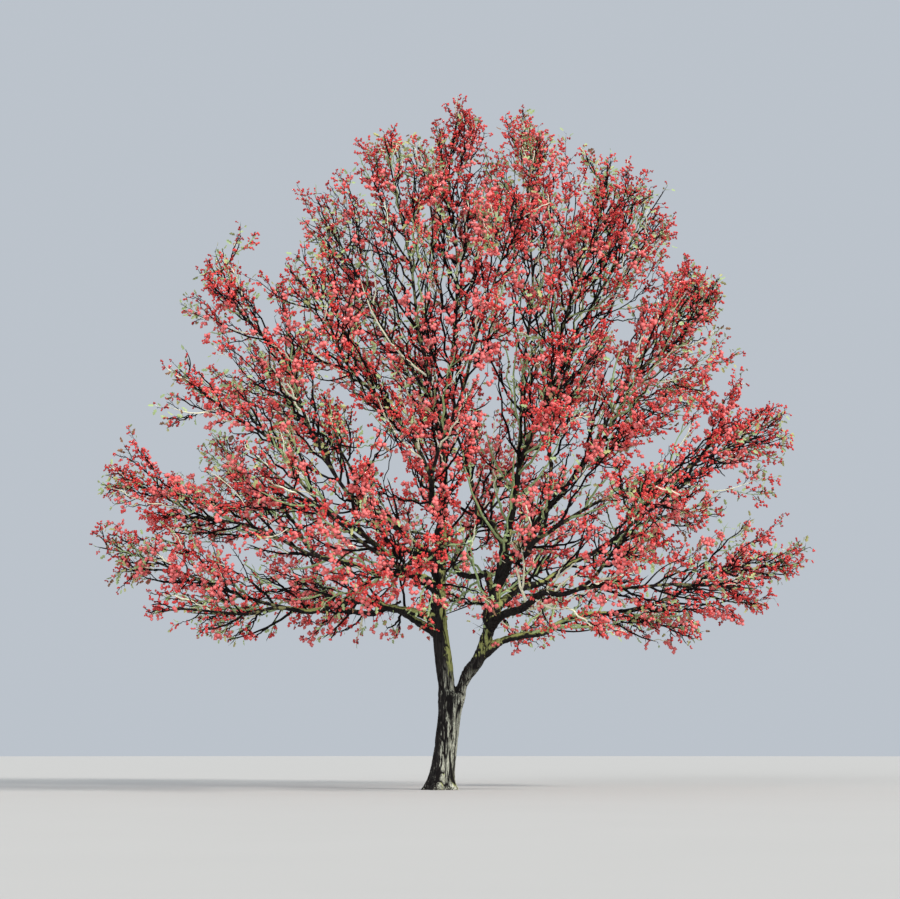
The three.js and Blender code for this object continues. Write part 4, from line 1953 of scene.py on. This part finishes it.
@dataclass
class Woodwork:
    """The trunk with its leaders, and the boughs, as bark with real relief."""

    skeleton: Skeleton
    relief: Relief
    bole_bark: BarkFinish = BarkFinish("bark_of_bole")
    bough_bark: BarkFinish = BarkFinish("bark_of_boughs", lichen_band=(0.74, 0.82))
    voxel: float = 0.011
    even_rounds: int = 14
    even_weights: Pair = (0.5, -0.51)
    fork_rounds: int = 20
    fork_weight: float = 0.5
    fork_below: Pair = (0.2, 0.04)
    fork_above: Pair = (0.16, 0.34)
    bole_sides: int = 48
    bole_below: float = 0.05
    foot_knots: int = 22
    foot_ends: Pair = (0.3, 0.33)
    bole_knots: int = 26
    bole_dome: float = 0.02
    leader_sides: int = 24
    leader_knots: int = 46
    leader_roots: Pair = (0.32, 0.12)
    leader_root_radius: float = 0.6
    leader_end: float = 0.03
    stub_sides: int = 18
    stub_knots: int = 22
    stub_length: float = 0.3
    stub_ends: Triple = (0.97, 0.9, 0.0)
    collar: float = 0.55
    collar_length: float = 0.07
    collar_start: float = 0.01
    bough_sides: int = 14
    bough_knots: int = 60
    bough_start: float = 0.2
    bough_start_radius: float = 0.9
    bough_ends: Triple = (0.97, 0.85, 0.0)
    bough_knobs: float = 0.12
    bough_relief: float = 0.5
    bough_level: float = 0.6
    bough_apart: float = 5.0

    def build(self) -> None:
        """Makes and dresses both pieces."""
        leaders = [limb.name for limb in self.skeleton.leader_limbs]
        boughs = [limb.name for limb in self.skeleton.bough_limbs]
        add_piece(self._bole_mesh(), self.bole_bark.material(), ["trunk", *leaders])
        add_piece(self._bough_mesh(), self.bough_bark.material(), boughs)

    def _bole_mesh(self) -> bpy.types.Mesh:
        """Fuses the trunk, the leaders and the boughs' collars, and works the bark's relief into them.

        Returns:
            The finished mesh.
        """
        rough = bpy.data.objects.new("bole_rough", self._bole_rough().mesh("bole_rough", False))
        bpy.context.scene.collection.objects.link(rough)
        fuse = rough.modifiers.new("fuse", "REMESH")
        fuse.mode = "VOXEL"
        fuse.voxel_size = self.voxel
        shape = rough.evaluated_get(bpy.context.evaluated_depsgraph_get())
        mesh = bpy.data.meshes.new_from_object(shape)
        bpy.data.objects.remove(rough)
        mesh.name = "trunk_and_leaders"
        self._soften(mesh)
        mark_crevices(mesh, self._carve(mesh))
        self._cut_flat(mesh)
        mesh.polygons.foreach_set("use_smooth", np.full(len(mesh.polygons), True))
        mesh.update()
        return mesh

    def _bole_rough(self) -> Facets:
        """Gives the trunk, leaders and collars as plain closed tubes that run into each other.

        Returns:
            All their corners and faces.
        """
        trunk, dome = self.skeleton.trunk, self.bole_dome
        foot_top, bole_foot = self.foot_ends
        foot = np.linspace(-self.bole_below, foot_top, self.foot_knots)
        heights = np.concatenate([foot, np.linspace(bole_foot, trunk.fork_height + dome, self.bole_knots)])
        angles = np.linspace(0.0, FULL_TURN, self.bole_sides, endpoint=False)
        rings = trunk.surface(heights[:, None], angles[None])
        middle = trunk.middle(np.array([trunk.fork_height + 2.0 * dome]))
        inner = middle[:, None] + 0.5 * (rings[-1:] - trunk.middle(heights[-1:])[:, None])
        rings = np.concatenate([rings, inner])
        corners = np.concatenate([rings.reshape(-1, 3), middle + dome * UP])
        parts = [Facets(corners, list(tube_faces(len(rings), self.bole_sides)))]
        parts += [self._leader_tube(limb) for limb in self.skeleton.leader_limbs]
        parts += [self._stub(limb) for limb in self.skeleton.bough_limbs]
        return Facets.joined(parts)

    def _leader_tube(self, limb: Limb) -> Facets:
        """Gives a leader that starts well down inside the trunk.

        Args:
            limb: The leader.

        Returns:
            A closed tube.
        """
        trunk, (deep, near) = self.skeleton.trunk, self.leader_roots
        shares = np.linspace(0.0, 1.0, self.leader_knots)
        points = limb.path.points(shares)
        below = np.stack([trunk.middle(trunk.fork_height - deep), trunk.middle(trunk.fork_height - near)])
        below[1] = 0.5 * (below[1] + points[0] - near * UP)
        radii = limb.radius(np.concatenate([[0.0, 0.0], shares, [1.0]]))
        radii[0] *= self.leader_root_radius
        end = points[-1:] + limb.path.tangents(1.0) * self.leader_end
        return tubes(np.concatenate([below, points, end])[None], radii[None], self.leader_sides, capped=True)

    def _stub(self, limb: Limb) -> Facets:
        """Gives a bough's first stretch, with the collar that it leaves its leader by.

        Args:
            limb: The bough.

        Returns:
            A closed tube.
        """
        shares = np.linspace(0.0, self.stub_length / limb.path.length, self.stub_knots)
        points = limb.path.points(shares)
        leader = min(self.skeleton.leader_limbs, key=lambda other: other.clearance(points[:1])[0])
        beyond = np.maximum(leader.clearance(points) + self.collar_start, 0.0)
        radii = limb.radius(shares) * (1.0 + self.collar * np.exp(-beyond / self.collar_length))
        radii[-3:] *= np.array(self.stub_ends)
        return tubes(points[None], radii[None], self.stub_sides, capped=True)

    def _soften(self, mesh: bpy.types.Mesh) -> None:
        """Evens out the steps that fusing leaves, without thinning the limbs, and melts the fork together.

        Args:
            mesh: The fused bole.
        """
        edges = np.empty(2 * len(mesh.edges), np.int32)
        mesh.edges.foreach_get("vertices", edges)
        first, second = edges.reshape(-1, 2).T
        places = corner_values(mesh, "co")
        count = len(places)
        share = np.bincount(first, minlength=count) + np.bincount(second, minlength=count)
        above = places[:, 2] - self.skeleton.trunk.fork_height
        far, near = self.fork_below
        melt = smooth_step(above, -far, -near) * (1.0 - smooth_step(above, *self.fork_above))
        even = [weight * np.ones(count) for weight in self.even_weights]
        for weight in even * self.even_rounds + [self.fork_weight * melt] * self.fork_rounds:
            total = np.zeros_like(places)
            for axis in range(3):
                total[:, axis] += np.bincount(first, places[second, axis], count)
                total[:, axis] += np.bincount(second, places[first, axis], count)
            places += weight[:, None] * (total / share[:, None] - places)
        move_corners(mesh, places)

    def _carve(self, mesh: bpy.types.Mesh) -> np.ndarray:
        """Works flutes, fissures and grain into the bole, and the fork's notch.

        Args:
            mesh: The fused bole.

        Returns:
            How far out of a fissure each corner is, from 0 to 1, and lower in the flutes' hollows: the bark's
            finish darkens both as painted shade.
        """
        relief = self.relief
        places, normals = corner_values(mesh, "co"), corner_values(mesh, "normal")
        height = places[:, 2]
        out = places - self.skeleton.trunk.middle(height)
        flutes = relief.flute(height, np.arctan2(out[:, 1], out[:, 0]))
        fade = 1.0 - smooth_step(height, *relief.flute_fade)
        plates = relief.fissures(places)
        grain = noise(places * np.array(relief.grain_scale))
        lower = 1.0 - smooth_step(height, *relief.fissure_fade)
        size = relief.upper_share + (1.0 - relief.upper_share) * lower
        rough = relief.fissure_depth * (plates - relief.fissure_level) + relief.grain_depth * (grain - 0.5)
        depth = relief.flute_depth * (flutes - relief.flute_level) * fade + size * rough
        places += normals * depth[:, None]
        spot = (places[:, [0, 2]] - np.array(relief.notch)) / np.array(relief.notch_size)
        places[:, 2] -= relief.notch_depth * np.exp(-(spot**2).sum(axis=1))
        move_corners(mesh, places)
        # The flutes' hollows are dimmed here, as painted shade.
        return np.clip(plates * (1.0 - relief.flute_shade * fade * (1.0 - flutes) ** 2), 0.0, 1.0)

    @staticmethod
    def _cut_flat(mesh: bpy.types.Mesh) -> None:
        """Cuts the bole off level at the ground and closes the cut.

        Args:
            mesh: The carved bole.
        """
        work = bmesh.new()
        work.from_mesh(mesh)
        parts = work.verts[:] + work.edges[:] + work.faces[:]
        cut = bmesh.ops.bisect_plane(
            work, geom=parts, plane_co=(0.0, 0.0, 0.0), plane_no=(0.0, 0.0, 1.0), clear_inner=True
        )
        rim = [item for item in cut["geom_cut"] if isinstance(item, bmesh.types.BMEdge)]
        bmesh.ops.holes_fill(work, edges=rim, sides=0)
        bmesh.ops.triangulate(work, faces=[face for face in work.faces if len(face.verts) > 4])
        work.to_mesh(mesh)
        work.free()

    def _bough_mesh(self) -> bpy.types.Mesh:
        """Makes the boughs beyond their collars, with knobbly fissured bark.

        Returns:
            The finished mesh.
        """
        parts, crevices = [], []
        for number, limb in enumerate(self.skeleton.bough_limbs):
            shares = np.linspace(self.bough_start / limb.path.length, 1.0, self.bough_knots)
            points = limb.path.points(shares)
            knobs = sway(np.arange(len(shares)), BarkDraw.KNOBS + number)
            radii = limb.radius(shares) * (1.0 + self.bough_knobs * knobs)
            radii[0] *= self.bough_start_radius
            radii[-3:] *= np.array(self.bough_ends)
            part = tubes(points[None], radii[None], self.bough_sides, capped=True)
            out = part.corners[:-1] - np.repeat(points[:-1], self.bough_sides, axis=0)
            run = np.repeat(shares[:-1] * limb.path.length, self.bough_sides) + self.bough_apart * number
            plates = self.relief.fissures(np.stack([out @ ACROSS, out @ UP, run], axis=-1))
            depth = self.bough_relief * self.relief.fissure_depth * (plates - self.bough_level)
            part.corners[:-1] += unit(out) * depth[:, None]
            parts.append(part)
            crevices.append(np.concatenate([plates, [1.0]]))
        mesh = Facets.joined(parts).mesh("boughs", True)
        mark_crevices(mesh, np.concatenate(crevices))
        return mesh


# Studio


class LightRole(Enum):
    """What each lamp does."""

    KEY = "key"
    FILL = "fill"


@dataclass(frozen=True)
class Lamp:
    """A broad far-off lamp that lights everything evenly, with soft shadows."""

    role: LightRole
    way: Vector
    breadth: float
    power: float
    colour: Colour = (1.0, 1.0, 1.0)
    distance: float = 20.0

    def build(self) -> None:
        """Hangs the lamp."""
        light = bpy.data.lights.new(f"lamp_{self.role.value}", "SUN")
        light.angle = math.radians(self.breadth)
        light.energy = self.power
        light.color = self.colour
        holder = bpy.data.objects.new(light.name, light)
        bpy.context.scene.collection.objects.link(holder)
        across, back, up = self.way
        holder.location = [self.distance * part for part in self.way]
        holder.rotation_euler = (math.atan2(math.hypot(across, back), up), 0.0, math.atan2(across, -back))


@dataclass(frozen=True)
class Studio:
    """A pale floor, soft lamps and the camera at the picture's angle."""

    lamps: tuple[Lamp, ...] = (
        Lamp(LightRole.KEY, (0.72, -0.62, 0.6), 12.0, 3.6, (1.0, 0.97, 0.92)),
        Lamp(LightRole.FILL, (-0.45, -0.85, 0.35), 40.0, 1.8, (0.94, 0.97, 1.0)),
    )
    sky: Colour = (0.50, 0.545, 0.60)
    floor_colour: Colour = (0.50, 0.49, 0.47)
    floor_wash: Pattern = Pattern(0.6, 2.0)
    floor_dimmer: float = 0.96
    floor_roughness: float = 0.9
    floor_radius: float = 90.0
    floor_sides: int = 96
    camera_place: Vector = (0.103, -22.0, 0.457)
    camera_pitch: float = 8.62
    camera_range: float = 500.0
    focal_pixels: float = 1968.0
    picture_width: float = 900.0
    film_width: float = 36.0

    def build(self) -> None:
        """Sets up the floor, the light and the camera."""
        self._lay_floor()
        self._light_sky()
        for lamp in self.lamps:
            lamp.build()
        self._place_camera()

    def _lay_floor(self) -> None:
        """Lays the floor."""
        disc = bmesh.new()
        bmesh.ops.create_circle(disc, cap_ends=True, segments=self.floor_sides, radius=self.floor_radius)
        mesh = bpy.data.meshes.new("floor")
        disc.to_mesh(mesh)
        disc.free()
        sheet = NodeSheet("floor_pale")
        dimmer = [self.floor_dimmer * part for part in self.floor_colour]
        colour = sheet.mix(sheet.cloud(self.floor_wash), self.floor_colour, dimmer)
        mesh.materials.append(sheet.finish(base_color=colour, roughness=self.floor_roughness))
        floor = bpy.data.objects.new("floor", mesh)
        bpy.context.scene.collection.objects.link(floor)

    def _light_sky(self) -> None:
        """Lights the sky evenly, and shows the colours as they are."""
        scene = bpy.context.scene
        scene.view_settings.view_transform = "Standard"
        scene.world = bpy.data.worlds.new("studio")
        scene.world.use_nodes = True
        scene.world.node_tree.nodes["Background"].inputs["Color"].default_value = (*self.sky, 1.0)

    def _place_camera(self) -> None:
        """Places the camera."""
        camera = bpy.data.cameras.new("camera")
        camera.sensor_width = self.film_width
        camera.lens = self.focal_pixels / self.picture_width * self.film_width
        camera.clip_end = self.camera_range
        holder = bpy.data.objects.new("camera", camera)
        holder.location = self.camera_place
        holder.rotation_euler = (math.radians(90.0 + self.camera_pitch), 0.0, 0.0)
        bpy.context.scene.collection.objects.link(holder)
        bpy.context.scene.camera = holder


def main() -> None:
    """Builds the tree, piece by piece, and the studio round it."""
    logging.basicConfig(level=logging.INFO, format="%(name)s %(message)s")
    skeleton = Skeleton(Crown(), Trunk())
    Woodwork(skeleton, Relief()).build()
    growth = Growth(skeleton, SourceTwigs())
    tufts = Tufts(growth)
    TwigWood(growth).build()
    Haws(tufts).build()
    Leaves(tufts).build()
    Studio().build()


if __name__ == "__main__":
    main()
